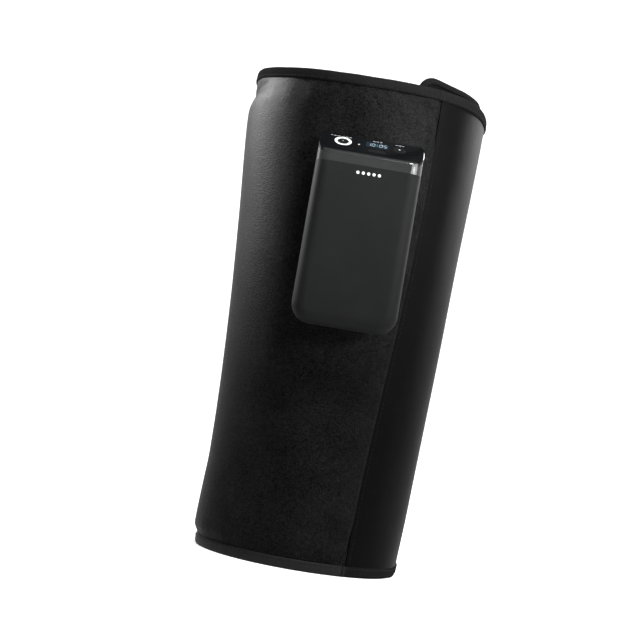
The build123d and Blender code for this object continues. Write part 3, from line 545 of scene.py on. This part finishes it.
def panel_binding(name, th, z, r_mid, half, shift, start_out, seed, band=6.0, step=1.6, trim=0, tuck=0):
    """Tape round a panel's lower edge, free end and upper edge."""
    pts = place(th, r_mid, z)
    path = np.concatenate([pts[trim:, 0], pts[-1, 1:], pts[-2:trim if trim else None:-1, -1] if trim else pts[-2::-1, -1]])
    keep = np.concatenate([[True], np.linalg.norm(np.diff(path, axis=0), axis=1) > 1e-6])
    path = resample(path[keep], step)
    for _ in range(2):
        path[1:-1] = (path[:-2] + 2 * path[1:-1] + path[2:]) / 4
    n, e = frame_along(path, shift, start_out)
    path = wobble(path, n, 0.10, seed)
    n, e = frame_along(path, shift, start_out)
    # the tape's two ends run on inside the next tape
    a, b = (path[0] - path[2]), (path[-1] - path[-3])
    a, b = a / np.linalg.norm(a), b / np.linalg.norm(b)
    run = np.array([3.0, 1.5])[:, None] * MM * tuck
    if tuck:
        path = np.concatenate([path[0] + a * run, path, path[-1] + b * run[::-1]])
        n = np.concatenate([n[:1], n[:1], n, n[-1:], n[-1:]])
        e = np.concatenate([e[:1], e[:1], e, e[-1:], e[-1:]])
    ob = sweep(name, path, n, e, u_profile(half - 0.04 * bool(tuck), band=band))
    return ob, path, n, e


fmid = (flap_out(FTH, FZ) + flap_in(FTH, FZ)) / 2
flap_bind_ob, FP, FN, FE = panel_binding("flap_edge_binding", FTH, FZ, fmid, FLAP / 2 - 0.1, 0, (0, 0, -1), 21, tuck=1)
tail_bind_ob, TLP, TLN, TLE = panel_binding("tail_edge_binding", TTH, TZ, tail_out(TTH, TZ) - TAIL / 2, TAIL / 2 - 0.1,
                                            SPIRAL, (0, 0, -1), 22, band=3.4, trim=2)


# ---------------------------------------------------------------------------
# Stitching
# ---------------------------------------------------------------------------
def stitches(name, path, n, e, o, h, length=2.5, pitch=3.3, rad=0.17, skip=0, lift=0.05):
    """Row of thread stitches lying on the fabric, o mm out along n and h mm along e."""
    d = np.concatenate([[0], np.cumsum(np.linalg.norm(np.diff(path, axis=0), axis=1))]) / MM
    total = d[-1]
    starts = np.arange(skip + 1, total - length - 1 - skip, pitch)
    verts, faces = [], []
    ring = 6
    line = path + n * (np.broadcast_to(o, (len(path),))[:, None] * MM) + e * (h * MM)

    def at_d(arr, s):
        return np.array([np.interp(s, d, arr[:, k]) for k in range(3)])
    for s0 in starts:
        ts = np.linspace(s0, s0 + length, 6)
        base = len(verts)
        dirn = at_d(line, s0 + length) - at_d(line, s0)
        dirn /= np.linalg.norm(dirn)
        for k, s in enumerate(ts):
            q = k / 5
            sag = -0.22 + 0.30 * math.sin(math.pi * q) + lift
            c = at_d(line, s) + at_d(n, s) * (sag * MM)
            nn = at_d(n, s)
            nn /= np.linalg.norm(nn)
            side = np.cross(dirn, nn)
            rr = rad * MM * (0.55 if k in (0, 5) else 1.0)
            for a in range(ring):
                w = 2 * math.pi * a / ring
                verts.append(c + nn * (rr * math.cos(w)) + side * (rr * math.sin(w)))
        for k in range(5):
            for a in range(ring):
                b = (a + 1) % ring
                faces.append((base + k * ring + a, base + k * ring + b, base + (k + 1) * ring + b, base + (k + 1) * ring + a))
        faces.append(tuple(base + a for a in reversed(range(ring))))
        faces.append(tuple(base + 5 * ring + a for a in range(ring)))
    ob = make_object(name, verts, faces)
    return fix_normals(ob)


def join(name, obs):
    me = bpy.data.meshes.new(name)
    verts, faces, off = [], [], 0
    for o in obs:
        verts += [tuple(v.co) for v in o.data.vertices]
        faces += [tuple(off + i for i in p.vertices) for p in o.data.polygons]
        off += len(o.data.vertices)
    me.from_pydata(verts, [], faces)
    me.polygons.foreach_set("use_smooth", [True] * len(me.polygons))
    me.update()
    for o in obs:
        bpy.data.objects.remove(o)
    ob = bpy.data.objects.new(name, me)
    bpy.context.scene.collection.objects.link(ob)
    return ob


TAPE_O = 1.06
rim_stitch = join("rim_stitching", [
    stitches("s1", TP, TN, TE, TH_HALF + TAPE_O, -4.6), stitches("s2", TP, TN, TE, -TH_HALF - TAPE_O, -4.6),
    stitches("s3", BP, BN, BE, BH_HALF + TAPE_O, -4.6), stitches("s4", BP, BN, BE, -BH_HALF - TAPE_O, -4.6)])
flap_stitch = join("flap_stitching", [
    stitches("s5", FP, FN, FE, FLAP / 2 - 0.1 + TAPE_O, -4.6), stitches("s6", FP, -FN, FE, FLAP / 2 - 0.1 + TAPE_O, -4.6)])
tail_stitch = join("tail_stitching", [
    stitches("s7", TLP, TLN, TLE, TAIL / 2 - 0.1 + TAPE_O, -2.5), stitches("s8", TLP, -TLN, TLE, TAIL / 2 - 0.1 + TAPE_O, -2.5)])

# seam: a topstitch down each side
sz = rows(7.5, 302.5, 260)


def seam_row(name, offset_mm, r_of):
    th = seam_deg(sz) + np.degrees(offset_mm / 74.0)
    p = place(th, r_of(th, sz), sz)
    n = radial(th)
    e = np.zeros_like(p)
    return stitches(name, p, n, e, 0.02, 0, length=2.2, pitch=2.9, rad=0.14)


seam_flap = seam_row("flap_seam_stitching", 2.6, flap_out)
seam_panel = seam_row("panel_seam_stitching", -2.4, knit_r)
hook_stitch = []


# ---------------------------------------------------------------------------
# Pump: places on the slanted fascia
# ---------------------------------------------------------------------------
PX, PF, PC = X0 + 4.75, -89.8, -78.45
TILT = math.atan2(274.6 - 257.2, 22.7)
TS, TC = math.sin(TILT), math.cos(TILT)


def fascia(u, v, up=0.0):
    """Point u mm to the right and v mm up the slope, up mm above the surface."""
    return Vector((PX + u, PC + v * TC - up * TS, 265.9 + v * TS + up * TC)) * MM


def fascia_plate(name, outline, up, thick):
    """Small raised plate on the fascia from a convex (u, v) outline."""
    n = len(outline)
    verts = [fascia(u, v, up) for u, v in outline] + [fascia(u, v, up - thick) for u, v in outline]
    faces = [tuple(range(n)), tuple(n + i for i in reversed(range(n)))]
    faces += [(i, n + i, n + (i + 1) % n, (i + 1) % n) for i in range(n)]
    ob = make_object(name, verts, faces, sharp=30)
    return fix_normals(ob)


def bar(u, v, w, h, slant=0.0):
    """Hexagonal segment of a numeral, centred on (u, v)."""
    if w >= h:
        c = h / 2
        pts = [(-w / 2, 0), (-w / 2 + c, -c), (w / 2 - c, -c), (w / 2, 0), (w / 2 - c, c), (-w / 2 + c, c)]
    else:
        c = w / 2
        pts = [(0, -h / 2), (c, -h / 2 + c), (c, h / 2 - c), (0, h / 2), (-c, h / 2 - c), (-c, -h / 2 + c)]
    return [(u + a + slant * b, v + b) for a, b in pts]


SEGS = {"0": "abcdef", "1": "bc", "2": "abged", "5": "afgcd"}


def digit(ch, u, v, w=1.75, h=3.2, t=0.34):
    place_of = {"a": (0, h / 2, w - t, t), "d": (0, -h / 2, w - t, t), "g": (0, 0, w - t, t),
                "b": (w / 2, h / 4, t, h / 2 - t * 0.6), "c": (w / 2, -h / 4, t, h / 2 - t * 0.6),
                "f": (-w / 2, h / 4, t, h / 2 - t * 0.6), "e": (-w / 2, -h / 4, t, h / 2 - t * 0.6)}
    return [bar(u + place_of[s][0] + 0.06 * place_of[s][1], v + place_of[s][1], place_of[s][2], place_of[s][3], 0.06)
            for s in SEGS[ch]]


def disc(u, v, r, n=16):
    return [(u + r * math.cos(2 * math.pi * i / n), v + r * math.sin(2 * math.pi * i / n)) for i in range(n)]


def pill(u, v, w, h, n=6):
    r = h / 2
    pts = [(u + w / 2 - r + r * math.cos(a), v + r * math.sin(a)) for a in np.linspace(-math.pi / 2, math.pi / 2, n)]
    pts += [(u - w / 2 + r + r * math.cos(a), v + r * math.sin(a)) for a in np.linspace(math.pi / 2, 1.5 * math.pi, n)]
    return pts


DU, DV = 3.0, 1.9
white_segs = [fascia_plate(f"d{i}", o, 0.06, 0.05) for i, o in enumerate(
    digit("1", DU - 5.0, DV) + digit("0", DU - 2.3, DV) + digit("0", DU + 2.3, DV) + digit("5", DU + 5.0, DV))]
display_digits = join("display_numerals", white_segs)
display_colon = join("display_colon", [fascia_plate(f"c{i}", disc(DU + 0.02, DV + dv, 0.26), 0.06, 0.05)
                                       for i, dv in enumerate((-0.75, 0.8))])
key_marks = join("key_marks", [
    fascia_plate("k0", disc(16.9, 1.3, 0.62), 0.06, 0.05),
    fascia_plate("k2", bar(-18.1, 1.2, 0.30, 1.3), 0.06, 0.05),
])
legend_marks = join("legend_dots", [
    fascia_plate(f"m{i}", pill(u, v, w, 0.34), 0.04, 0.03) for i, (u, v, w) in enumerate((
        (-25.6, 6.6, 1.5), (-23.6, 6.6, 1.9), (-21.2, 6.6, 2.1), (-18.3, 6.6, 1.6), (-16.2, 6.6, 1.9), (-13.9, 6.6, 1.7),
        (DU - 2.2, 6.9, 1.6), (DU, 6.9, 1.8), (DU + 2.2, 6.9, 1.5),
        (14.9, 6.7, 1.5), (16.9, 6.7, 1.7), (18.8, 6.7, 1.4)))])


# ---------------------------------------------------------------------------
# Materials
# ---------------------------------------------------------------------------
class Mat:
    def __init__(self, name, color, rough=0.6, spec=0.5, **kw):
        self.m = bpy.data.materials.new(name)
        self.m.use_nodes = True
        self.t = self.m.node_tree
        self.t.nodes.clear()
        self.out = self.n("ShaderNodeOutputMaterial")
        self.b = self.n("ShaderNodeBsdfPrincipled")
        self.t.links.new(self.b.outputs[0], self.out.inputs[0])
        self.b.inputs["Base Color"].default_value = (*color, 1)
        self.b.inputs["Roughness"].default_value = rough
        self.b.inputs["Specular IOR Level"].default_value = spec
        for k, v in kw.items():
            self.b.inputs[k.replace("_", " ")].default_value = v

    def n(self, kind, **props):
        node = self.t.nodes.new(kind)
        for k, v in props.items():
            setattr(node, k, v)
        return node

    def link(self, a, b):
        self.t.links.new(a, b)

    def coords(self, kind="Object"):
        return self.n("ShaderNodeTexCoord").outputs[kind]

    def noise(self, vec, scale, detail=3.0, rough=0.55):
        x = self.n("ShaderNodeTexNoise")
        x.inputs["Scale"].default_value = scale
        x.inputs["Detail"].default_value = detail
        x.inputs["Roughness"].default_value = rough
        self.link(vec, x.inputs["Vector"])
        return x.outputs["Fac"]

    def voronoi(self, vec, scale, feature="F1"):
        x = self.n("ShaderNodeTexVoronoi", feature=feature)
        x.inputs["Scale"].default_value = scale
        self.link(vec, x.inputs["Vector"])
        return x.outputs["Distance"]

    def wave(self, vec, scale, axis="X", distort=0.0, shape="SIN", dscale=1.0):
        x = self.n("ShaderNodeTexWave", wave_type="BANDS", bands_direction=axis, wave_profile=shape)
        x.inputs["Scale"].default_value = scale
        x.inputs["Distortion"].default_value = distort
        x.inputs["Detail"].default_value = 1.0
        x.inputs["Detail Scale"].default_value = dscale
        self.link(vec, x.inputs["Vector"])
        return x.outputs["Fac"]

    def math(self, op, a, b=None, clamp=False):
        x = self.n("ShaderNodeMath", operation=op, use_clamp=clamp)
        for i, v in enumerate((a, b)):
            if v is None:
                continue
            if isinstance(v, (int, float)):
                x.inputs[i].default_value = v
            else:
                self.link(v, x.inputs[i])
        return x.outputs[0]

    def ramp(self, fac, stops):
        x = self.n("ShaderNodeValToRGB")
        els = x.color_ramp.elements
        while len(els) < len(stops):
            els.new(0.5)
        for e, (p, c) in zip(els, stops):
            e.position = p
            e.color = (*c, 1) if hasattr(c, "__len__") else (c, c, c, 1)
        self.link(fac, x.inputs[0])
        return x.outputs[0]

    def mapping(self, vec, scale=(1, 1, 1), rot=(0, 0, 0)):
        x = self.n("ShaderNodeMapping")
        x.inputs["Scale"].default_value = scale
        x.inputs["Rotation"].default_value = rot
        self.link(vec, x.inputs["Vector"])
        return x.outputs[0]

    def color(self, out):
        self.link(out, self.b.inputs["Base Color"])

    def rough(self, out):
        self.link(out, self.b.inputs["Roughness"])

    def bump(self, *layers):
        """layers: (height, distance in mm)."""
        prev = None
        for h, dist in layers:
            x = self.n("ShaderNodeBump")
            x.inputs["Strength"].default_value = 1.0
            x.inputs["Distance"].default_value = dist * MM
            self.link(h, x.inputs["Height"])
            if prev is not None:
                self.link(prev, x.inputs["Normal"])
            prev = x.outputs[0]
        self.link(prev, self.b.inputs["Normal"])


def knit_material(name, lo, hi, wale=0.95, course=0.75, sheen=0.012, depth=0.11):
    """Fine jersey knit: little loops in slanting rows, with an uneven yarn."""
    m = Mat(name, lo, 0.5, 0.017, Sheen_Weight=sheen, Sheen_Roughness=0.30)
    m.b.inputs["Sheen Tint"].default_value = (0.78, 0.78, 0.80, 1)
    v = m.coords("UV")
    v2 = m.mapping(v, (1 / (wale * MM), 1 / (course * MM), 1), (0, 0, math.radians(24)))
    wob = m.n("ShaderNodeTexNoise")
    wob.inputs["Scale"].default_value = 0.35
    m.link(v2, wob.inputs["Vector"])
    mixed = m.n("ShaderNodeVectorMath", operation="ADD")
    scaled = m.n("ShaderNodeVectorMath", operation="SCALE")
    m.link(wob.outputs["Color"], scaled.inputs[0])
    scaled.inputs["Scale"].default_value = 1.6
    m.link(v2, mixed.inputs[0])
    m.link(scaled.outputs[0], mixed.inputs[1])
    v3 = mixed.outputs[0]
    cell = m.voronoi(v3, 1.0)
    loops = m.math("SUBTRACT", 1.0, cell)
    obj = m.coords("Object")
    blotch = m.noise(obj, 42, 4, 0.6)
    speck = m.noise(obj, 1000, 3, 0.75)
    fac = m.math("ADD", m.math("MULTIPLY", loops, 0.66), m.math("MULTIPLY", speck, 0.46))
    fleck = m.noise(obj, 520, 2, 0.6)                 # uneven yarn, a little coarser than the loops
    fac = m.math("ADD", fac, m.math("MULTIPLY", m.math("SUBTRACT", fleck, 0.5), 0.50))
    fac = m.math("ADD", fac, m.math("MULTIPLY", m.math("SUBTRACT", blotch, 0.5), 0.5), True)
    m.color(m.ramp(fac, [(0.30, lo), (0.70, hi), (0.92, tuple(min(1, c * 2.0) for c in hi))]))
    m.rough(m.math("ADD", m.math("MULTIPLY", speck, 0.16), 0.40))
    m.bump((m.noise(obj, 130, 3), 0.035), (loops, depth), (fleck, depth * 0.4), (speck, 0.15))
    return m.m


def jersey_material(name, lo, hi):
    """Smooth laminated jersey of the closure flap."""
    m = Mat(name, lo, 0.62, 0.02, Sheen_Weight=0.034, Sheen_Roughness=0.26)
    m.b.inputs["Sheen Tint"].default_value = (0.8, 0.8, 0.82, 1)
    v = m.coords("UV")
    v2 = m.mapping(v, (1 / (0.62 * MM), 1 / (0.55 * MM), 1))
    cell = m.voronoi(v2, 1.0)
    obj = m.coords("Object")
    blotch = m.noise(obj, 30, 5, 0.6)
    fine = m.noise(obj, 900, 3, 0.6)
    fac = m.math("ADD", m.math("MULTIPLY", fine, 0.4), m.math("MULTIPLY", blotch, 0.6), True)
    m.color(m.ramp(fac, [(0.3, lo), (0.7, hi)]))
    m.rough(m.math("ADD", m.math("MULTIPLY", fine, 0.12), 0.54))
    m.bump((m.noise(obj, 40, 4), 0.35), (cell, 0.05))
    return m.m


def tape_material(name, lo, hi, sheen=0.05, spec=0.05):
    """Soft folded tape with a very fine grain."""
    m = Mat(name, lo, 0.6, spec, Sheen_Weight=sheen, Sheen_Roughness=0.30)
    v = m.coords("UV")
    v2 = m.mapping(v, (1 / (0.5 * MM), 1 / (0.45 * MM), 1))
    cell = m.voronoi(v2, 1.0)
    obj = m.coords("Object")
    soft = m.noise(obj, 90, 4, 0.6)
    fac = m.math("ADD", m.math("MULTIPLY", cell, 0.4), m.math("MULTIPLY", soft, 0.6), True)
    m.color(m.ramp(fac, [(0.2, lo), (0.8, hi)]))
    m.rough(m.math("ADD", m.math("MULTIPLY", soft, 0.15), 0.5))
    m.bump((soft, 0.3), (cell, 0.05))
    return m.m


def pile_material(name, lo, hi, scale, depth):
    m = Mat(name, lo, 0.9, 0.08, Sheen_Weight=0.06, Sheen_Roughness=0.5)
    obj = m.coords("Object")
    c = m.voronoi(obj, scale)
    n1 = m.noise(obj, scale * 0.7, 4, 0.7)
    fac = m.math("ADD", m.math("MULTIPLY", c, 0.7), m.math("MULTIPLY", n1, 0.4), True)
    m.color(m.ramp(fac, [(0.2, hi), (0.8, lo)]))
    m.bump((m.math("SUBTRACT", 1.0, c), depth), (n1, depth * 0.6))
    return m.m


def moulded_material(name, color, rough=0.5, spec=0.4, grain=900, depth=0.03, coat=0.0, var=0.12):
    m = Mat(name, color, rough, spec)
    if coat:
        m.b.inputs["Coat Weight"].default_value = coat
        m.b.inputs["Coat Roughness"].default_value = 0.08
    obj = m.coords("Object")
    fine = m.noise(obj, grain, 4, 0.6)
    broad = m.noise(obj, 45, 3, 0.5)
    lo = tuple(c * (1 - var) for c in color)
    hi = tuple(min(1, c * (1 + var)) for c in color)
    m.color(m.ramp(m.math("ADD", m.math("MULTIPLY", fine, 0.55), m.math("MULTIPLY", broad, 0.45)), [(0.35, lo), (0.65, hi)]))
    m.rough(m.math("ADD", m.math("MULTIPLY", fine, 0.1), rough - 0.05))
    m.bump((fine, depth))
    return m.m


def gloss_material(name, color, rough=0.06, smear=0.06, spec=0.5, coat=0.6, metal=0.0, lip=None):
    m = Mat(name, color, rough, spec)
    m.b.inputs["Metallic"].default_value = metal
    m.b.inputs["Coat Weight"].default_value = coat
    m.b.inputs["Coat Roughness"].default_value = 0.03
    obj = m.coords("Object")
    s = m.noise(obj, 70, 5, 0.65)
    m.rough(m.ramp(s, [(0.35, rough), (0.75, rough + smear)]))
    tone = m.ramp(m.noise(obj, 30, 2), [(0.3, tuple(c * 0.9 for c in color)), (0.7, tuple(c * 1.1 for c in color))])
    if lip:                                             # lighter front lip, forward of y = lip[0]
        xyz = m.n("ShaderNodeSeparateXYZ")
        m.link(obj, xyz.inputs[0])
        mix = m.n("ShaderNodeMix", data_type="RGBA")
        m.link(m.math("DIVIDE", m.math("SUBTRACT", xyz.outputs["Y"], lip[0]), lip[1] - lip[0], True), mix.inputs["Factor"])
        mix.inputs[6].default_value = (*lip[2], 1)
        m.link(tone, mix.inputs[7])
        tone = mix.outputs[2]
    m.color(tone)
    m.bump((m.noise(obj, 25, 2), 0.01))
    return m.m


def glow_material(name, color, strength, base=(0.8, 0.8, 0.8), rough=0.3, uneven=0.08):
    m = Mat(name, base, rough, 0.4)
    m.b.inputs["Emission Strength"].default_value = strength
    obj = m.coords("Object")
    n1 = m.noise(obj, 300, 2)
    lo = tuple(c * (1 - uneven) for c in color)
    m.link(m.ramp(n1, [(0.3, lo), (0.7, color)]), m.b.inputs["Emission Color"])
    return m.m


def metal_material(name, color, rough=0.35):
    m = Mat(name, color, rough, 0.5, Metallic=1.0)
    obj = m.coords("Object")
    n1 = m.noise(m.mapping(obj, (1, 1, 12)), 300, 3)
    m.rough(m.ramp(n1, [(0.3, rough - 0.1), (0.7, rough + 0.12)]))
    m.color(m.ramp(n1, [(0.3, tuple(c * 0.85 for c in color)), (0.7, color)]))
    m.bump((n1, 0.01))
    return m.m


def thread_material(name, color):
    m = Mat(name, color, 0.8, 0.05, Sheen_Weight=0.04)
    obj = m.coords("Object")
    n1 = m.noise(obj, 1500, 2)
    m.color(m.ramp(n1, [(0.3, tuple(c * 0.7 for c in color)), (0.7, tuple(c * 1.3 for c in color))]))
    m.bump((n1, 0.03))
    return m.m


def g(x):
    return (x, x, x)


MATS = {
    "knit": knit_material("sleeve_knit_fabric", g(0.0008), g(0.0048)),
    "lining_fabric": knit_material("lining_knit", g(0.011), g(0.024), 1.5, 1.3, depth=0.3),
    "bladder_film": gloss_material("bladder_film", (0.30, 0.31, 0.33), 0.28, 0.15, coat=0.1),
    "binding_tape": tape_material("rim_tape", g(0.0045), g(0.0075), 0.012, 0.0),
    "hem_tape": tape_material("hem_tape", g(0.0060), g(0.0095)),
    "flap_jersey": jersey_material("flap_jersey", g(0.0009), g(0.0014)),
    "hook_plastic": pile_material("hook_plastic", g(0.004), g(0.014), 1300, 0.5),
    "loop_fabric": pile_material("loop_pile", g(0.004), g(0.012), 1100, 0.4),
    "housing": moulded_material("housing_matte", (0.0068, 0.0070, 0.0070), 0.55, 0.016, 1100, 0.03),
    "gloss_cap": gloss_material("cap_gloss", (0.0136, 0.0139, 0.0141), 0.14, 0.06, spec=0.25, coat=0.0),
    "key_gloss": gloss_material("key_gloss", (0.005, 0.0051, 0.0052), 0.10, 0.05, spec=0.14, coat=0.0),
    "display_glass": gloss_material("display_glass", (0.004, 0.009, 0.014), 0.05, 0.03, spec=0.16, coat=0.0),
    "light_guide": glow_material("light_guide", (1.0, 1.0, 1.0), 0.62, (0.25, 0.25, 0.25)),
    "circuit_board": moulded_material("circuit_board", (0.02, 0.11, 0.05), 0.4, 0.5, 600, 0.02, coat=0.4, var=0.3),
    "steel": metal_material("steel", (0.56, 0.57, 0.58), 0.3),
    "battery_wrap": moulded_material("battery_wrap", (0.04, 0.16, 0.33), 0.35, 0.5, 500, 0.01, coat=0.4),
    "inner_plastic": moulded_material("inner_plastic", (0.045, 0.046, 0.048), 0.5, 0.4, 700, 0.02),
    "valve_body": moulded_material("valve_body", (0.55, 0.55, 0.53), 0.45, 0.4, 700, 0.02),
    "soft_seal": moulded_material("soft_seal", (0.012, 0.012, 0.013), 0.75, 0.25, 500, 0.03),
}
GLOW_TEAL = glow_material("display_teal", (0.10, 0.75, 0.62), 0.7, (0.02, 0.1, 0.1))
GLOW_WHITE = glow_material("display_white", (0.80, 0.93, 1.0), 0.50, (0.1, 0.1, 0.1))
GLOW_DIM = glow_material("status_white", (1.0, 1.0, 1.0), 0.30, (0.2, 0.2, 0.2))
FASCIA = gloss_material("fascia_gloss", (0.0022, 0.0024, 0.0026), 0.08, 0.05, spec=0.14, coat=0.0,
                        lip=(-0.0884, -0.0876, (0.0136, 0.0139, 0.0141)))
MARK = thread_material("mark_ink", (0.30, 0.30, 0.31))
THREAD = thread_material("black_thread", g(0.004))
# painted shade: the tail's binding is the rim's tape made a little darker, for the shade it lies in behind the flap's
# rim
SHADED_TAIL_TAPE = tape_material("tail_tape_painted_shade", g(0.0040), g(0.0068), 0.012, 0.0)
THREAD_HEM = thread_material("hem_thread", g(0.028))


def dress(ob, mat):
    ob.data.materials.clear()
    ob.data.materials.append(mat)


for part in frame["record"]["subparts"]:
    own = {"control_fascia": FASCIA, "status_light": GLOW_DIM}
    dress(NODES[part["node"]], own.get(part["node"]) or MATS[part["material_slot"]])


# ---------------------------------------------------------------------------
# Each piece's body, place in the CAD and finish
# ---------------------------------------------------------------------------
def seat(ob, body, slot, mat=None, replaces=()):
    dress(ob, mat or MATS[slot])
    if body:
        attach(ob, body)
    if replaces:
        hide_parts(*replaces)


HINGE = np.array((33.614, -46.449, 0.0)) * MM
HINGE_DIR = np.array((0.03911, -0.01971, 0.99904))
TANGENT = np.cross(np.array((0.857, 0.515, 0.0)), HINGE_DIR)
TANGENT = np.cross(HINGE_DIR, TANGENT)
TANGENT /= np.linalg.norm(TANGENT)
seam_mid = place(seam_deg(155.0), flap_c(155.0) - 1.5, 155.0)


def bend(ob, slot, mat=None, replaces=()):
    """Fabric that starts on the seam: gets its finish and has its transform baked into the mesh, with no body."""
    seat(ob, None, slot, mat, replaces)
    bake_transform(ob)


seat(knit_ob, "sleeve", "knit", replaces=["outer_panel"])
seat(lining_ob, "sleeve", "lining_fabric", replaces=["lining"])
for ob, node in zip(bladder_obs, ("lower_bladder", "middle_bladder", "upper_bladder")):
    seat(ob, "sleeve", "bladder_film", replaces=[node])
seat(top_ob, "sleeve", "binding_tape", replaces=["top_binding"])
seat(bot_ob, "sleeve", "hem_tape", replaces=["bottom_binding"])
seat(tail_ob, "sleeve", "flap_jersey", replaces=["tail_panel"])
seat(tail_bind_ob, "sleeve", "binding_tape", SHADED_TAIL_TAPE, replaces=["tail_binding"])
seat(loop_ob, "sleeve", "loop_fabric", replaces=["loop_panel"])
seat(rim_stitch, "sleeve", "binding_tape", THREAD)
seat(tail_stitch, "sleeve", "binding_tape", THREAD)
seat(seam_panel, "sleeve", "knit", THREAD)
bend(flap_ob, "flap_jersey", replaces=["closure_flap"])
bend(flap_bind_ob, "binding_tape", replaces=["flap_binding"])
bend(flap_stitch, "binding_tape", THREAD)
bend(seam_flap, "flap_jersey", THREAD)
for i, ob in enumerate(hook_obs):
    seat(ob, "flap", "hook_plastic", replaces=["hook_strips"] if i == 0 else ())

seat(display_digits, "sleeve", "light_guide", GLOW_WHITE)
seat(display_colon, "sleeve", "light_guide", GLOW_TEAL)
seat(legend_marks, "sleeve", "key_gloss", MARK)
seat(key_marks, "sleeve", "key_gloss", MARK)


# ---------------------------------------------------------------------------
# Floor, backdrop, light and camera
# ---------------------------------------------------------------------------
def sweep_floor():
    """Floor that curves up into a backdrop on every side, as one bowl."""
    rings, seg = [], 72
    prof = [(0.0, 0.0), (0.4, 0.0), (0.9, 0.0), (1.6, 0.0), (2.2, 0.0)]
    for k in range(1, 11):
        a = k / 10 * math.pi / 2
        prof.append((2.2 + 1.2 * math.sin(a), 1.2 - 1.2 * math.cos(a)))
    prof.append((3.4, 3.2))
    verts, faces = [(0, 0, 0)], []
    for r, z in prof[1:]:
        for i in range(seg):
            a = 2 * math.pi * i / seg
            verts.append((r * math.cos(a), r * math.sin(a), z))
    for i in range(seg):
        faces.append((0, 1 + i, 1 + (i + 1) % seg))
    for k in range(len(prof) - 2):
        a, b = 1 + k * seg, 1 + (k + 1) * seg
        for i in range(seg):
            j = (i + 1) % seg
            faces.append((a + i, b + i, b + j, a + j))
    return make_object("studio_floor", verts, faces)


floor = sweep_floor()
fm = Mat("studio_paper", (0.9, 0.9, 0.9), 0.9, 0.1)
paper = fm.noise(fm.coords("Object"), 3, 2)
fm.color(fm.ramp(paper, [(0.3, g(0.495)), (0.7, g(0.505))]))
# the paper glows behind and under the object, and fades out in front of it and far to its left
parts = fm.n("ShaderNodeSeparateXYZ")
fm.link(fm.coords("Object"), parts.inputs[0])
slant = fm.math("ADD", fm.math("MULTIPLY", parts.outputs["X"], 0.5), parts.outputs["Y"])
fade = fm.ramp(fm.math("ADD", slant, 1.0), [(0.15, 0.04), (0.55, 1.0)])
glow = fm.ramp(paper, [(0.3, g(0.995)), (0.7, g(1.0))])
both = fm.n("ShaderNodeVectorMath", operation="MULTIPLY")
fm.link(glow, both.inputs[0])
fm.link(fade, both.inputs[1])
fm.link(both.outputs[0], fm.b.inputs["Emission Color"])
fm.b.inputs["Emission Strength"].default_value = 0.86
dress(floor, fm.m)

world = bpy.data.worlds.new("studio")
world.use_nodes = True
world.node_tree.nodes["Background"].inputs[0].default_value = (1, 1, 1, 1)
world.node_tree.nodes["Background"].inputs[1].default_value = 0.12
bpy.context.scene.world = world
bpy.context.scene.view_settings.view_transform = "Standard"


def soft_box(name, loc, target, w, h, power, color=(1, 1, 1)):
    data = bpy.data.lights.new(name, "AREA")
    data.shape = "RECTANGLE"
    data.size, data.size_y = w, h
    data.energy = power
    data.color = color
    ob = bpy.data.objects.new(name, data)
    bpy.context.scene.collection.objects.link(ob)
    ob.location = loc
    ob.rotation_euler = (Vector(target) - Vector(loc)).to_track_quat("-Z", "Y").to_euler()
    return ob


def soft_spot(name, loc, target, cone, radius, power):
    data = bpy.data.lights.new(name, "SPOT")
    data.spot_size = math.radians(cone)
    data.spot_blend = 1.0
    data.shadow_soft_size = radius
    data.energy = power
    ob = bpy.data.objects.new(name, data)
    bpy.context.scene.collection.objects.link(ob)
    ob.location = loc
    ob.rotation_euler = (Vector(target) - Vector(loc)).to_track_quat("-Z", "Y").to_euler()
    return ob


mid = (0, 0, 0.17)
soft_box("right_rear", (0.90, 1.02, 1.10), (0.03, 0, 0.20), 0.7, 0.6, 24)
soft_spot("right_top", (0.82, 0.84, 0.62), (0.075, 0, 0.225), 24, 0.10, 46)
soft_spot("left_rear", (-0.81, 0.40, 0.58), (-0.07, 0, 0.268), 19, 0.10, 205)
soft_box("right_side", (1.04, -0.90, 0.51), (0.03, -0.08, 0.265), 1.20, 0.10, 10.0)
soft_spot("upper_right", (0.85, -0.80, 0.62), (0.024, -0.078, 0.280), 11, 0.10, 300)
soft_box("key_front", (0.36, -0.95, 1.90), mid, 0.45, 0.45, 66)

cam_data = bpy.data.cameras.new("camera")
cam_data.lens = 76.9
cam_data.sensor_width = 36.0
cam_data.clip_start = 0.01
cam_data.clip_end = 30
cam = bpy.data.objects.new("camera", cam_data)
bpy.context.scene.collection.objects.link(cam)
yaw, pitch, roll = math.radians(0.616), math.radians(3.31), math.radians(9.66)
fwd = Vector((-math.sin(yaw) * math.cos(pitch), math.cos(yaw) * math.cos(pitch), math.sin(pitch)))
right0 = fwd.cross(Vector((0, 0, 1))).normalized()
up0 = right0.cross(fwd)
right = right0 * math.cos(roll) + up0 * math.sin(roll)
up = up0 * math.cos(roll) - right0 * math.sin(roll)
rot = Matrix((right, up, -fwd)).transposed().to_4x4()
cam.matrix_world = Matrix.Translation((X0 * MM, (Y0 - 924) * MM, 0.107)) @ rot
bpy.context.scene.camera = cam
